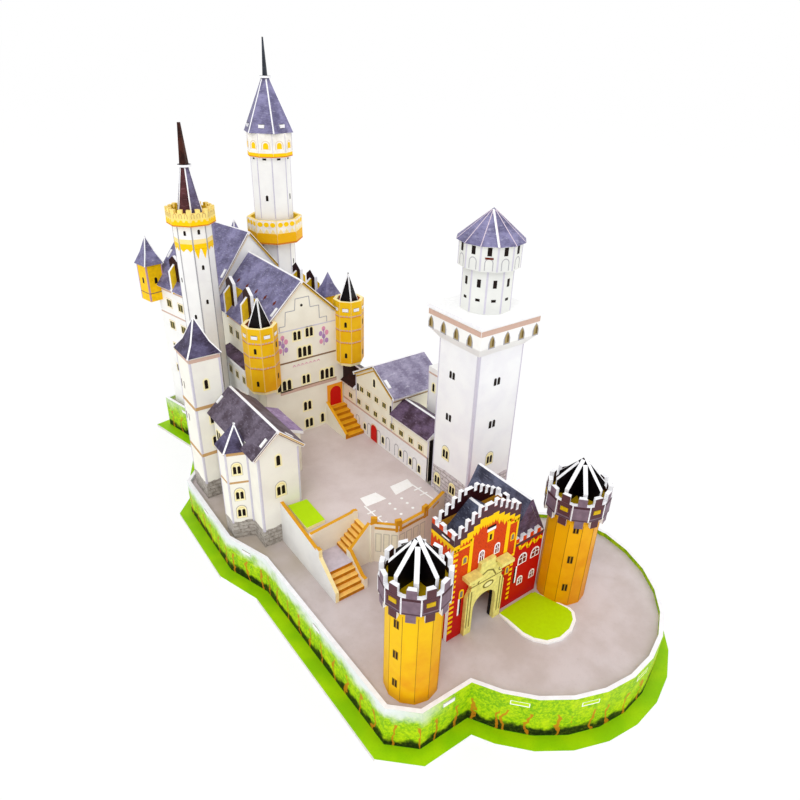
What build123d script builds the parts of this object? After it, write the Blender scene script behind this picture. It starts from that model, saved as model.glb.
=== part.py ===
from build123d import *
import os
from math import atan, cos, degrees, hypot, pi, radians, sin, sqrt

# A castle folded and slotted together from 2 mm foam-cored card.
# The origin is on the table under the middle of the base, +Y runs to the main hall, +Z is up.

# Card and joints
card = 2.0
play = 0.2
proud = 0.3
tab = 6.0
small_tab = 3.6
ridge_flat = 1.6
roof_lip = 1.5
beyond = 400.0
flat_front = 22.5

# Base: a flat board, a folded skirt and a deck inside the skirt
board_top = card
rim_top = 26.0
deck_top = 23.4
flange = 7.0
lobe_centre = (25.6, -104.9)
lobe_radius = 67.9
lobe_start = 216.2
lobe_facets = 11
front_corner = [(-74.0, -121.8), (-62.7, -132.6), (-36.3, -133.4)]
right_side = [(88.5, -82.0), (68.0, -64.0), (66.0, 58.0), (47.0, 84.0), (41.5, 140.0)]
back_side = [(27.0, 209.5), (-59.1, 191.2)]
left_side = [(-48.4, 146.0), (-64.0, 114.0), (-72.4, 89.5), (-84.3, 76.5), (-84.9, 13.4), (-75.5, -13.4)]

# Court: a raised deck between the buildings
court_top = 45.0
court_left = -59.6
court_tall = 49.8
court_low = 44.2
landing_top = 33.4
flight_right = -42.7
flight_foot = -59.6
landing_front = -46.0
landing_back = -31.5
flight_end = -29.5
upper_front = -43.0
lower_steps = 5
upper_steps = 6
stair_thick = 3.4
stair_rail = 4.6
foot_rail = 6.2
back_rail = (2.4, 5.4)
rail_round = 1.9
sill = (4.5, 1.6)
rampart_line = [(-29.5, -46.0), (-27.3, -46.0), (-18.0, -54.6), (1.2, -53.2), (20.5, -45.7)]
rampart_rail = 50.5
rail_drop = 3.4
rail_slot = (0.34, 1.2)
post_width = 3.4
door_stair_foot = 36.6
door_stair_left = 9.0
door_sill = 57.2
door_steps = 6
door_rail = 4.2

# Gatehouse
gate_left = -30.2
gate_right = 9.3
gate_front = -109.0
gate_back = -94.0
gate_shoulder = 84.0
gate_peak = 94.5
gate_merlon = 2.6
gable_steps = 5
side_steps = 2
wing_steps = 4
gate_top_flat = 4.0
gate_roof_drop = 6.5
gate_roof_slope = 0.77
gate_roof_play = 1.3
arch_left = -17.0
arch_right = -2.6
arch_spring = 38.0
portal_half = 11.6
portal_shoulder = 61.0
portal_top = 64.3
portal_head = 9.0
portal_falls = (14.0, 10.0, 4.0, 1.0)
portal_step = 2.2
portal_corner = 6.0
ledge_size = (8.0, 3.0)
ledge_top = 60.6
wing_right = 28.5
wing_back = -72.0
wing_wall = 65.0
wing_parapet = 4.0
wing_rise = 19.0

# Round towers of the gatehouse
gate_tower_places = {"left": (-55.7, -115.8), "right": (39.9, -116.2)}
gate_tower_radius = 12.1
gate_tower_sides = 12
gate_tower_top = 82.0
crown_radius = 15.0
crown_drop = 4.0
pendant_drop = 8.0
notch_rise = 4.5
merlon_rise = 8.5
notch_share = 0.46
fin_reach = 11.0
fin_shoulder_rise = 9.0
fin_rise = 22.0
fin_turn = 6.3

# Square tower and its lookout
square_left = 20.5
square_right = 50.5
square_front = -62.4
square_back = -33.4
square_top = 137.5
flare = 4.5
flare_slope = 1.3
corbel_height = 16.0
plate_lip = 0.8
lookout_sides = (10, 12)
lookout_turn = 9.0
lookout_radius = 12.6
lookout_height = 21.3
lookout_wide = 15.1
lookout_wide_height = 11.7
lookout_rise = 14.0
lookout_lip = 1.4

# Range along the court
range_face = 21.0
range_depth = 37.0
range_front = -29.0
range_back = 76.0
range_low_depth = 18.0
range_low_wall = 74.0
range_low_rise = 6.0
range_gable = (6.0, 46.0)
range_eaves = 84.0
range_rise = 12.0
range_tab_share = 0.4
verge = 0.8
far_turret_size = (8.0, 10.0)
far_turret_y = -9.0
far_turret_top = 105.0

# Main hall, front wing
hall_left = -34.0
hall_right = 20.5
hall_front = 60.6
hall_eaves = 117.5
hall_rise = 26.3
hall_lip = 1.6
hall_verge = 1.0
hall_tab_share = 0.4

# Main hall, rear block, turned against the front wing
rear_middle = (-6.7, 130.0)
rear_turn = 12.0
rear_half = 33.0
rear_long = 66.0
rear_eaves = 117.8
rear_rise = 39.2
rear_tab_share = 0.42

# Corner turrets of the hall, each set out from the corner of the front wing
turret_sides = 8
turret_out = {"left": (-0.6, 0.3), "right": (4.2, -1.2)}
turret_radius = {"left": 10.1, "right": 9.5}
turret_foot = {"left": 85.5, "right": 89.0}
turret_height = {"left": 39.5, "right": 40.6}
turret_steps = (0.9, 0.5)
turret_disc = 6.0
turret_cap_play = 2.6
turret_cap_rise = 20.5
turret_cap_turn = -15.0

# Pinnacles over the eaves of the hall: two crossed cards with pointed tops
pinnacle_out = 2.3
pinnacle_depth = 9.5
pinnacle_axis = 2.8
pinnacle_drop = 2.7
pinnacle_shoulder = 12.8
pinnacle_rise = 18.0
pinnacle_cross = 5.3
cross_shoulder = 19.0
cross_rise = 22.7
left_pinnacles = [81.0, 106.0]
right_pinnacles = [92.0, 111.0]
rear_pinnacle = 42.8

# Bartizans: two on the rear corners of the hall and a small one on the right eaves
bartizan_half = 6.0
bartizan_out = 3.0
bartizan_back = 1.0
bartizan_foot = 106.0
bartizan_height = 25.5
bartizan_rise = 18.5
bartizan_skirt = 8.0
bartizan_lip = 1.2
bartizan_waist = 0.6
small_bartizan = (2.0, 80.0)
small_bartizan_half = 4.8
small_bartizan_foot = 108.0
small_bartizan_height = 19.0
small_bartizan_rise = 14.0
small_bartizan_skirt = 6.0

# Annex against the left wall of the hall
annex_left = -40.0
annex_ends = (72.5, 111.0)
annex_wall = 90.4
annex_rise = 4.6

# Tall and slim towers: each level is a height over the one below
tower_sides = 8
cone_sides = 6
cone_turn = 15.0
finial_thick = 1.2
tall_place = (20.0, 145.0)
tall_radius = 12.7
tall_gallery = 148.0
tall_gallery_height = 15.5
tall_gallery_radius = 18.4
tall_top = 202.0
tall_collar_sides = 10
tall_collar_height = 14.5
tall_collar_radius = 14.5
tall_cone_radius = 16.6
tall_cone_height = 30.5
tall_cone_top = 2.6
tall_finial = 3.6
tall_needle = (1.7, 0.5, 20.8)
cone_disc_rise = 3.0
slim_place = (-52.5, 100.0)
slim_radius = 10.6
slim_top = 176.5
slim_gallery_height = 9.0
slim_gallery_radius = 13.3
slim_notches = (16, 0.22, 2.0)
slim_cone_radius = 8.2
slim_cone_height = 27.5
slim_cone_top = 2.4
slim_finial = 3.7
slim_needle = (2.6, 0.9, 20.8)
thin_card = 1.6

# Bower beside the court, with a bay and a small wing
bower_left = -70.0
bower_right = -46.6
bower_front = -3.6
bower_back = 54.0
bower_eaves = 82.0
bower_rise = 10.6
bower_lip = 2.0
bower_verge = (1.5, 0.5)
bower_tab = 5.0
bay_foot = (9.0, 27.0)
bay_reach = 10.6
bay_taper = 4.0
bay_drop = 2.0
bay_lip = 1.2
bay_rise = 0.4
bay_slant = 1.3
small_wing_right = -32.0
small_wing_ends = (22.5, 52.0)
small_wing_wall = 70.0
small_wing_rise = 9.0

# Left block
block_left = -79.0
block_right = -61.5
block_front = 55.5
block_back = 75.0
block_wall = 116.0
block_skirt = 6.0
block_rise = 19.0
block_lip = 1.0
block_waist = 0.62
block_slant = 1.6

# Lawns, with the gate lawn cut straight along the wall
court_lawn_points = [(-55.9, -5.1), (-56.5, -27.1), (-45.4, -26.5), (-44.7, -5.9)]
gate_lawn_points = [
    (4.6, -110.9),
    (2.9, -122.2),
    (8.7, -135.6),
    (21.7, -138.0),
    (29.9, -134.8),
    (33.0, -130.0),
    (25.5, -122.0),
    (25.0, -110.9),
]

pieces = {}


def slab(points, z0, z1):
    return Pos(0, 0, z0) * extrude(Polygon(*points, align=None), z1 - z0, dir=(0, 0, 1))


def prism_y(points, y0, y1):
    return Pos(0, y0, 0) * extrude(Plane.XZ * Polygon(*points, align=None), y1 - y0, dir=(0, 1, 0))


def prism_x(points, x0, x1):
    return Pos(x0, 0, 0) * extrude(Plane.YZ * Polygon(*points, align=None), x1 - x0, dir=(1, 0, 0))


def block(x0, x1, y0, y1, z0, z1):
    return Pos((x0 + x1) / 2, (y0 + y1) / 2, (z0 + z1) / 2) * Box(x1 - x0, y1 - y0, z1 - z0)


def placed(shape, place, turn=0.0):
    return Pos(place[0], place[1], 0) * Rot(0, 0, turn) * shape


def largest(shape):
    return shape.solids().sort_by(SortBy.VOLUME)[-1]


def upright(x0, x1, y0, y1):
    """A block from below the table to well over the castle, for cuts."""
    return block(x0, x1, y0, y1, -1, beyond)


def group(*shapes):
    """Pieces that stay separate solids in one node."""
    return Compound(children=[solid for shape in shapes for solid in shape.solids()])


def grown(points, distance):
    """The outline moved outward by a distance, with square mitres; points run counterclockwise."""
    result = []
    for i, (bx, by) in enumerate(points):
        ax, ay = points[i - 1]
        cx, cy = points[(i + 1) % len(points)]
        first = hypot(bx - ax, by - ay)
        second = hypot(cx - bx, cy - by)
        n1 = ((by - ay) / first, (ax - bx) / first)
        n2 = ((cy - by) / second, (bx - cx) / second)
        share = distance / (1 + n1[0] * n2[0] + n1[1] * n2[1])
        result.append((bx + (n1[0] + n2[0]) * share, by + (n1[1] + n2[1]) * share))
    return result


def strip_outline(line, thick):
    """A folded strip seen from above: the line and the same line moved to its left by the card."""
    inner = []
    for i, (bx, by) in enumerate(line):
        ax, ay = line[max(i - 1, 0)]
        cx, cy = line[min(i + 1, len(line) - 1)]
        if i == 0:
            ax, ay = 2 * bx - cx, 2 * by - cy
        if i == len(line) - 1:
            cx, cy = 2 * bx - ax, 2 * by - ay
        first = hypot(bx - ax, by - ay)
        second = hypot(cx - bx, cy - by)
        n1 = ((ay - by) / first, (bx - ax) / first)
        n2 = ((by - cy) / second, (cx - bx) / second)
        share = thick / (1 + n1[0] * n2[0] + n1[1] * n2[1])
        inner.append((bx + (n1[0] + n2[0]) * share, by + (n1[1] + n2[1]) * share))
    return line + inner[::-1]


def ngon(sides, radius, turn=0.0):
    angles = [radians(turn + 360 * k / sides) for k in range(sides)]
    return [(radius * cos(a), radius * sin(a)) for a in angles]


def tube(sides, radius, z0, z1, turn=0.0, wall=card):
    inner = radius - wall / cos(pi / sides)
    return slab(ngon(sides, radius, turn), z0, z1) - slab(ngon(sides, inner, turn), z0 - 1, z1 + 1)


def tabbed_disc(sides, radius, z, turn=0.0, step=1, lean=0.0):
    """A floor card with tabs through a tube's walls; step skips sides, lean is how far they lean in."""
    apothem = radius * cos(pi / sides)
    depth = card + lean
    disc = slab(ngon(sides, radius - depth / cos(pi / sides) - play, turn), z, z + card)
    for k in range(0, sides, step):
        here = Rot(0, 0, turn + 360 * (k + 0.5) / sides)
        disc += here * Pos(apothem - depth, 0, z + card / 2) * Box(2 * (depth + proud), small_tab, card)
    return disc


def disc_slots(sides, radius, z, turn=0.0, step=1):
    """The slots in the tube's walls for those tabs."""
    apothem = radius * cos(pi / sides)
    slots = None
    for k in range(0, sides, step):
        here = Rot(0, 0, turn + 360 * (k + 0.5) / sides) * Pos(apothem, 0, z + card / 2)
        one = here * Box(3 * card, small_tab + 2 * play, card + 2 * play)
        slots = one if slots is None else slots + one
    return slots


def prismoid(low, z0, high, z1):
    """A solid with flat sides between two level outlines that have as many corners."""
    foot = [(x, y, z0) for x, y in low]
    head = [(x, y, z1) for x, y in high]
    loops = [foot[::-1], head]
    loops += [[foot[i - 1], foot[i], head[i], head[i - 1]] for i in range(len(foot))]
    return Solid(Shell([Face(Wire.make_polygon(loop)) for loop in loops]))


def oblong(half_x, half_y):
    return [(-half_x, -half_y), (half_x, -half_y), (half_x, half_y), (-half_x, half_y)]


def frustum(sides, r0, z0, r1, z1, turn=0.0):
    if r1 > 0:
        return prismoid(ngon(sides, r0, turn), z0, ngon(sides, r1, turn), z1)
    foot = Pos(0, 0, z0) * Polygon(*ngon(sides, r0, turn), align=None)
    return loft([foot, Vertex(0, 0, z1)], ruled=True)


def folded_cone(sides, radius, z0, apex, turn=0.0, cut=None, wall=card):
    """A pyramid of folded card, open below; cut takes its tip off at a height."""
    apothem = radius * cos(pi / sides)
    height = apex - z0
    slant = hypot(apothem, height)
    inner_apothem = apothem - wall * slant / height
    inner_height = height - wall * slant / apothem
    shell = frustum(sides, radius, z0, 0, apex, turn)
    shell -= frustum(sides, inner_apothem / cos(pi / sides), z0, 0, z0 + inner_height, turn)
    if cut is not None:
        shell -= block(-radius, radius, -radius, radius, cut, apex + 1)
    return shell


def gable_outline(x0, x1, foot, eaves, peak):
    return [(x0, foot), (x1, foot), (x1, eaves), ((x0 + x1) / 2, peak), (x0, eaves)]


def roof_section(x0, x1, eaves, peak, lip):
    """A card folded over a gable, with square-cut eaves and the foam showing along the ridge."""
    middle = (x0 + x1) / 2
    slope = (peak - eaves) / (x1 - middle)
    length = sqrt(1 + slope * slope)
    reach = x1 - middle + lip
    low = eaves - lip * slope
    out = card * slope / length
    rise = card / length
    top = peak + card * length - ridge_flat / 2 * slope
    return [
        (middle - reach, low),
        (middle, peak),
        (middle + reach, low),
        (middle + reach + out, low + rise),
        (middle + ridge_flat / 2, top),
        (middle - ridge_flat / 2, top),
        (middle - reach - out, low + rise),
    ]


def slope_tabs(x0, x1, y, eaves, peak, share, grow=0.0, wide=tab):
    """Tabs of a gable wall that stand square to both roof slopes, at a share of the way up."""
    middle = (x0 + x1) / 2
    slope = (peak - eaves) / (x1 - middle)
    reach = (x1 - middle) * (1 - share)
    height = 2 * (card + proud + grow)
    body = Box(wide + 2 * grow, card + 2 * grow, height)
    angle = degrees(atan(slope))
    z = peak - reach * slope
    right = Pos(middle + reach, y, z) * Rot(0, angle, 0) * body
    left = Pos(middle - reach, y, z) * Rot(0, -angle, 0) * body
    return right + left


def battlement(x0, z0, x1, z1, steps, merlon):
    """The stepped edge from one end of a wall top to the other: a merlon and a notch for each step."""
    points = []
    for k in range(steps):
        here = x0 + (x1 - x0) * k / steps
        half = x0 + (x1 - x0) * (k + 0.5) / steps
        after = x0 + (x1 - x0) * (k + 1) / steps
        z = z0 + (z1 - z0) * k / max(steps - 1, 1)
        points += [(here, z + merlon), (half, z + merlon), (half, z), (after, z)]
    return points


def edge_tabs(points, z0, z1, grow=0.0, out=0.0, shortest=19.0, depth=card):
    """One tab at the middle of each long side of an outline, pointing outward through a card."""
    shape = None
    for i, (bx, by) in enumerate(points):
        ax, ay = points[i - 1]
        length = hypot(bx - ax, by - ay)
        if length < shortest:
            continue
        angle = degrees(atan((by - ay) / (bx - ax))) if bx != ax else 90.0
        nx, ny = (by - ay) / length, (ax - bx) / length
        middle = ((ax + bx) / 2 + nx * (depth + out) / 2, (ay + by) / 2 + ny * (depth + out) / 2)
        one = Pos(middle[0], middle[1], (z0 + z1) / 2) * Rot(0, 0, angle)
        one *= Box(tab + 2 * grow, depth + out, z1 - z0 + 2 * grow)
        shape = one if shape is None else shape + one
    return shape


# Base
lobe = []
for k in range(lobe_facets + 1):
    a = radians(lobe_start + (360 - lobe_start) * k / lobe_facets)
    lobe.append((lobe_centre[0] + lobe_radius * cos(a), lobe_centre[1] + lobe_radius * sin(a)))
rim = front_corner + lobe + right_side + back_side + left_side
inside = grown(rim, -card)
pieces["base_board"] = slab(grown(rim, flange), 0, board_top)
deck_tabs = edge_tabs(inside, deck_top - card, deck_top, out=proud)
deck_slots = edge_tabs(inside, deck_top - card, deck_top, grow=play, out=1)
pieces["lower_deck"] = slab(inside, deck_top - card, deck_top) + deck_tabs
skirt_ends = {
    "front": (0, len(front_corner) + lobe_facets),
    "right": (len(front_corner) + lobe_facets, len(rim) - len(left_side) - 2),
    "back": (len(rim) - len(left_side) - 2, len(rim) - len(left_side) - 1),
    "left": (len(rim) - len(left_side) - 1, len(rim)),
}
for side, (start, end) in skirt_ends.items():
    outer = [rim[i % len(rim)] for i in range(start, end + 1)]
    inner = [inside[i % len(rim)] for i in range(start, end + 1)]
    pieces["skirt_" + side] = slab(outer + inner[::-1], board_top, rim_top) - deck_slots

# Court deck and its walls
wall_in = court_left + card
rampart_outline = strip_outline(rampart_line, card)
rampart_inner = rampart_outline[len(rampart_line):][::-1]
court_outline = (
    [(flight_end, landing_back), (flight_end, rampart_inner[0][1])]
    + rampart_inner[1:]
    + [(square_left, square_back), (range_face, square_back), (range_face, hall_front)]
    + [(bower_right, hall_front), (bower_right, bower_front), (wall_in, bower_front), (wall_in, landing_back)]
)
pieces["upper_deck"] = slab(court_outline, court_top - card, court_top)
court_profile = [
    (bower_front, deck_top),
    (bower_front, court_tall),
    (landing_front + sill[0], court_low),
    (landing_front + sill[0], court_low + sill[1]),
    (landing_front + roof_lip, court_low + sill[1]),
    (landing_front + roof_lip, court_low - 2 * roof_lip),
    (flight_foot, deck_top + foot_rail),
    (flight_foot, deck_top),
]
pieces["court_wall_left"] = prism_x(court_profile, court_left, wall_in)
back_rail_outline = [
    (wall_in, deck_top),
    (flight_end, deck_top),
    (flight_end, court_top + back_rail[1]),
    (wall_in, court_top + back_rail[0]),
]
back_wall = prism_y(back_rail_outline, landing_back - card, landing_back)
rail_end = Pos(flight_end - rail_round, landing_back - card / 2, court_top + back_rail[1] - roof_lip)
back_wall += rail_end * Rot(90, 0, 0) * Cylinder(rail_round, card)


def rampart():
    """A folded wall with a rail: each panel has a slot under its rail and a rounded post at its ends."""
    shape = slab(rampart_outline, deck_top, rampart_rail - rail_drop / 2)
    for (ax, ay), (bx, by) in zip(rampart_line, rampart_line[1:]):
        length = hypot(bx - ax, by - ay)
        if length < 3 * tab:
            continue
        angle = degrees(atan((by - ay) / (bx - ax)))
        nx, ny = (ay - by) / length * card / 2, (bx - ax) / length * card / 2
        middle = Pos((ax + bx) / 2 + nx, (ay + by) / 2 + ny, court_top + sill[1]) * Rot(0, 0, angle)
        shape -= middle * Box(length * rail_slot[0], 2 * card, rail_slot[1])
    for i in range(1, len(rampart_line) - 1):
        x, y = rampart_line[i]
        ix, iy = rampart_inner[i]
        height = rampart_rail + rail_drop / 2 - court_top
        run = rampart_line[i + 1][0] - rampart_line[i - 1][0]
        angle = degrees(atan((rampart_line[i + 1][1] - rampart_line[i - 1][1]) / run))
        post = Pos((x + ix) / 2, (y + iy) / 2, court_top + height / 2) * Rot(0, 0, angle)
        shape += post * Box(post_width, card, height)
    return shape


pieces["court_rampart"] = rampart()
pieces["court_wall_back"] = block(bower_right, hall_left, hall_front, hall_front + card, deck_top, court_top)


def flight_profile(start, foot, end, top, steps, thick, hung=False):
    """The side of a folded flight of steps: treads and risers above, a straight underside."""
    run, rise = (end - start) / steps, (top - foot) / steps
    upper = []
    for k in range(steps):
        upper += [(start + run * k, foot + rise * (k + 1)), (start + run * (k + 1), foot + rise * (k + 1))]
    if hung:
        return [(start, foot - thick)] + upper + [(end, top - thick)]
    return [(start, foot)] + upper + [(end, top - thick), (start + run, foot)]


lower_flight = flight_profile(flight_foot, deck_top, landing_front, landing_top, lower_steps, stair_thick)
upper_flight = flight_profile(flight_right, landing_top, flight_end, court_top, upper_steps, stair_thick, hung=True)
stair = prism_x(lower_flight, wall_in, flight_right)
stair += block(wall_in, flight_right, landing_front, landing_back - card, landing_top - stair_thick, landing_top)
stair += prism_y(upper_flight, upper_front, landing_back - card)
pieces["court_stair"] = stair
rail_side = [
    (flight_foot, deck_top),
    (flight_foot, deck_top + foot_rail),
    (flight_foot + 2 * roof_lip, deck_top + foot_rail),
    (landing_front, landing_top + stair_rail),
    (landing_front + 2 * roof_lip, landing_top + stair_rail),
    (landing_front + 2 * roof_lip, deck_top),
]
side_rail = prism_x(rail_side, flight_right, flight_right + card)
front_rail = [
    (flight_right + card, deck_top),
    (flight_right + card, landing_top + stair_rail),
    (flight_end, court_top + door_rail),
    (flight_end, deck_top),
]
front_rail = prism_y(front_rail, upper_front - card, upper_front)
pieces["stair_walls"] = group(back_wall, side_rail, front_rail)

# Stair up to the door of the hall
door_flight = flight_profile(door_stair_foot, court_top, hall_front, door_sill, door_steps, stair_thick)
hall_stair = prism_x(door_flight, door_stair_left, range_face)
door_side = [
    (door_stair_foot, court_top),
    (door_stair_foot, court_top + stair_thick),
    (hall_front, door_sill + door_rail),
    (hall_front, court_top),
]
hall_stair += prism_x(door_side, door_stair_left - card, door_stair_left)
pieces["hall_stair"] = hall_stair


# Gatehouse
gate_middle = (gate_left + gate_right) / 2
arch_middle = (arch_left + arch_right) / 2
arch_half = (arch_right - arch_left) / 2
gate_half = (gate_right - gate_left) / 2
top_left = gate_middle - gate_top_flat / 2
top_right = gate_middle + gate_top_flat / 2
step_left = battlement(gate_left, gate_shoulder, top_left, gate_peak - card, gable_steps, gate_merlon)
step_right = [(2 * gate_middle - x, z) for x, z in step_left][::-1]


def arch(half, y0, y1):
    opening = block(arch_middle - half, arch_middle + half, y0, y1, deck_top - 1, arch_spring)
    head = Pos(arch_middle, (y0 + y1) / 2, arch_spring) * Rot(90, 0, 0) * Cylinder(half, y1 - y0)
    return opening + head


gate_gable = [(gate_left, deck_top)] + step_left + [(top_left, gate_peak), (top_right, gate_peak)]
gate_gable += step_right + [(gate_right, deck_top)]
wing_low = wing_wall - gate_merlon
wing_top = battlement(gate_right, wing_low, wing_right, wing_low, wing_steps, gate_merlon)
wing_front = [(gate_right - card, deck_top), (gate_right - card, wing_wall)] + wing_top + [(wing_right, deck_top)]
facade = prism_y(gate_gable, gate_front, gate_front + card) + prism_y(wing_front, gate_front, gate_front + card)
passage = arch(arch_half, gate_front - arch_half, gate_back + arch_half)
pieces["gate_front_wall"] = facade - passage
gate_rear = prism_y(gate_gable, gate_back - card, gate_back)
inner_front, inner_back = gate_front + card, gate_back - card
side_top = battlement(inner_front, gate_shoulder, inner_back, gate_shoulder, side_steps, gate_merlon)
side_profile = [(inner_front, deck_top)] + side_top + [(inner_back, deck_top)]
gate_shell = gate_rear + prism_x(side_profile, gate_left, gate_left + card)
gate_shell += prism_x(side_profile, gate_right - card, gate_right)
pieces["gate_shell"] = gate_shell - passage
portal_left = arch_middle - portal_half
portal_right = arch_middle + portal_half
portal_edge = [
    (portal_half, deck_top),
    (portal_half, portal_shoulder - portal_falls[0]),
    (portal_half - portal_step, portal_shoulder - portal_falls[1]),
    (portal_half - portal_step, portal_shoulder - portal_falls[2]),
    (portal_half - portal_corner, portal_shoulder - portal_falls[3]),
    (portal_head / 2, portal_shoulder),
    (portal_head / 2, portal_top),
]
portal_outline = [(arch_middle - x, z) for x, z in portal_edge] + [(arch_middle + x, z) for x, z in portal_edge[::-1]]
portal = prism_y(portal_outline, gate_front - card, gate_front) - passage
ledge_front = gate_front - card - ledge_size[1]
for x in (portal_left - portal_step, portal_right + portal_step - ledge_size[0]):
    portal += block(x, x + ledge_size[0], ledge_front, gate_front, ledge_top - card, ledge_top)
pieces["gate_portal"] = portal
roof_half = gate_half - card - gate_roof_play
gate_roof_ridge = gate_peak - gate_roof_drop
gate_low = gate_roof_ridge - gate_roof_slope * (gate_half - card)
gate_section = roof_section(gate_middle - roof_half, gate_middle + roof_half, gate_low, gate_roof_ridge, 0)
pieces["gate_roof"] = prism_y(gate_section, inner_front, inner_back)
wing_eaves = wing_wall - wing_parapet
wing_peak = wing_eaves + wing_rise
wing_outline = gable_outline(gate_right, wing_right, deck_top, wing_eaves, wing_peak)
wing_house = prism_y(wing_outline, inner_front, wing_back)
wing_house -= upright(gate_right + card, wing_right - card, inner_front - 1, wing_back - card)
wing_house -= upright(gate_right - 1, gate_right + card + 1, gate_front, gate_back)


def wing_tabs(grow=0.0):
    return slope_tabs(gate_right, wing_right, wing_back - card / 2, wing_eaves, wing_peak, range_tab_share, grow)


pieces["gate_wing_walls"] = wing_house + wing_tabs()
wing_section = roof_section(gate_right, wing_right, wing_eaves, wing_peak, roof_lip)
wing_roof = prism_y(wing_section, inner_front, wing_back + hall_verge)
wing_roof -= upright(gate_left, gate_right, gate_front, gate_back)
pieces["gate_wing_roof"] = wing_roof - wing_tabs(play)


# Round towers of the gatehouse
def crown():
    """A ring of folded panels, each with a merlon above and a pendant below."""
    pendant_foot = gate_tower_top - pendant_drop
    crown_foot = gate_tower_top - crown_drop
    notch_foot = gate_tower_top + notch_rise
    crown_top = gate_tower_top + merlon_rise
    ring = tube(gate_tower_sides, crown_radius, pendant_foot, crown_top)
    notch = 2 * crown_radius * sin(pi / gate_tower_sides) * notch_share
    for k in range(gate_tower_sides):
        corner = Rot(0, 0, 360 * k / gate_tower_sides)
        for z0, z1 in ((notch_foot, crown_top + 1), (pendant_foot - 1, crown_foot)):
            ring -= corner * block(crown_radius - 2 * card, crown_radius + 1, -notch / 2, notch / 2, z0, z1)
    return ring - disc_slots(gate_tower_sides, crown_radius, gate_tower_top, step=2)


def fin_cards():
    """Eight fins: two whole cards halved over each other and four half cards in their corners."""
    foot = gate_tower_top + card
    fin_shoulder = gate_tower_top + fin_shoulder_rise
    fin_apex = gate_tower_top + fin_rise
    edge = [(fin_reach, foot), (fin_reach, fin_shoulder)]
    profile = [(-x, z) for x, z in edge] + [(0, fin_apex)] + edge[::-1]
    whole = prism_y(profile, -card / 2, card / 2)
    middle = (foot + fin_apex) / 2
    low = whole - block(-card / 2, card / 2, -card, card, middle, fin_apex + 1)
    high = Rot(0, 0, 90) * (whole - block(-card / 2, card / 2, -card, card, foot - 1, middle))
    start = card / 2 * (1 + sqrt(2)) + play / 4
    half = whole - block(-fin_reach - 1, start, -card, card, foot - 1, fin_apex + 1)
    cards = [low, high] + [Rot(0, 0, 45 + 90 * k) * half for k in range(4)]
    return Rot(0, 0, fin_turn) * group(*cards)


for side, place in gate_tower_places.items():
    name = "gate_tower_" + side
    disc = tabbed_disc(gate_tower_sides, crown_radius, gate_tower_top, step=2)
    pieces[name + "_shaft"] = placed(tube(gate_tower_sides, gate_tower_radius, deck_top, gate_tower_top), place)
    pieces[name + "_crown"] = placed(crown(), place)
    pieces[name + "_cap"] = group(placed(disc, place), placed(fin_cards(), place))

# Square tower
square_box = block(square_left, square_right, square_front, square_back, deck_top, square_top)
square_hollow = upright(square_left + card, square_right - card, square_front + card, square_back - card)
pieces["square_tower_walls"] = square_box - square_hollow
square_middle = ((square_left + square_right) / 2, (square_front + square_back) / 2)
square_half = ((square_right - square_left) / 2, (square_back - square_front) / 2)


def corbel():
    """The flared head: four sloping sides on the shaft's top that end in an upright band."""
    band = square_top + flare * flare_slope
    top = square_top + corbel_height
    shape = None
    for inset in (0, card):
        slim = (square_half[0] - inset, square_half[1] - inset)
        wide = (slim[0] + flare, slim[1] + flare)
        solid = prismoid(oblong(*slim), square_top, oblong(*wide), band)
        solid += block(-wide[0], wide[0], -wide[1], wide[1], band, top)
        shape = solid if shape is None else shape - solid
    return shape


pieces["square_tower_corbel"] = placed(corbel(), square_middle)
plate = (square_half[0] + flare + plate_lip, square_half[1] + flare + plate_lip)
plate_bottom = square_top + corbel_height
plate_top = plate_bottom + card
square_plate = block(-plate[0], plate[0], -plate[1], plate[1], plate_bottom, plate_top)
pieces["square_tower_plate"] = placed(square_plate, square_middle)
lookout_joint = plate_top + lookout_height
lookout_eave = lookout_joint + lookout_wide_height
low_sides, high_sides = lookout_sides
lower_drum = tube(low_sides, lookout_radius, plate_top, lookout_joint, lookout_turn)
pieces["lookout_lower_drum"] = placed(lower_drum, square_middle)
upper_floor = slab(ngon(high_sides, lookout_wide), lookout_joint, lookout_joint + card)
upper_drum = tube(high_sides, lookout_wide, lookout_joint, lookout_eave) + upper_floor
pieces["lookout_upper_drum"] = placed(upper_drum, square_middle)
lookout_roof = folded_cone(high_sides, lookout_wide + lookout_lip, lookout_eave, lookout_eave + lookout_rise)
pieces["lookout_roof"] = placed(lookout_roof, square_middle)

# Range along the court
gable_low, gable_high = range_gable
range_right = range_face + range_depth
range_peak = range_eaves + range_rise
high_outline = gable_outline(gable_low, gable_high, deck_top, range_eaves, range_peak)
high_part = prism_x(high_outline, range_face, range_right)
high_part -= upright(range_face + card, range_right - card, gable_low + card, gable_high - card)
low_right = range_face + range_low_depth
low_peak = range_low_wall + range_low_rise
low_outline = gable_outline(range_face, low_right, deck_top, range_low_wall, low_peak)
near_part = prism_y(low_outline, range_front, gable_low)
near_part -= upright(range_face + card, low_right - card, range_front + card, gable_low + 1)
far_part = prism_y(low_outline, gable_high, range_back)
far_part -= upright(range_face + card, low_right - card, gable_high - 1, range_back - card)


def range_tabs(grow=0.0):
    pair = slope_tabs(gable_low, gable_high, 0, range_eaves, range_peak, range_tab_share, grow)
    near, far = [Pos(x, 0, 0) * Rot(0, 0, 90) * pair for x in (range_face + card / 2, range_right - card / 2)]
    return near + far


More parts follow.
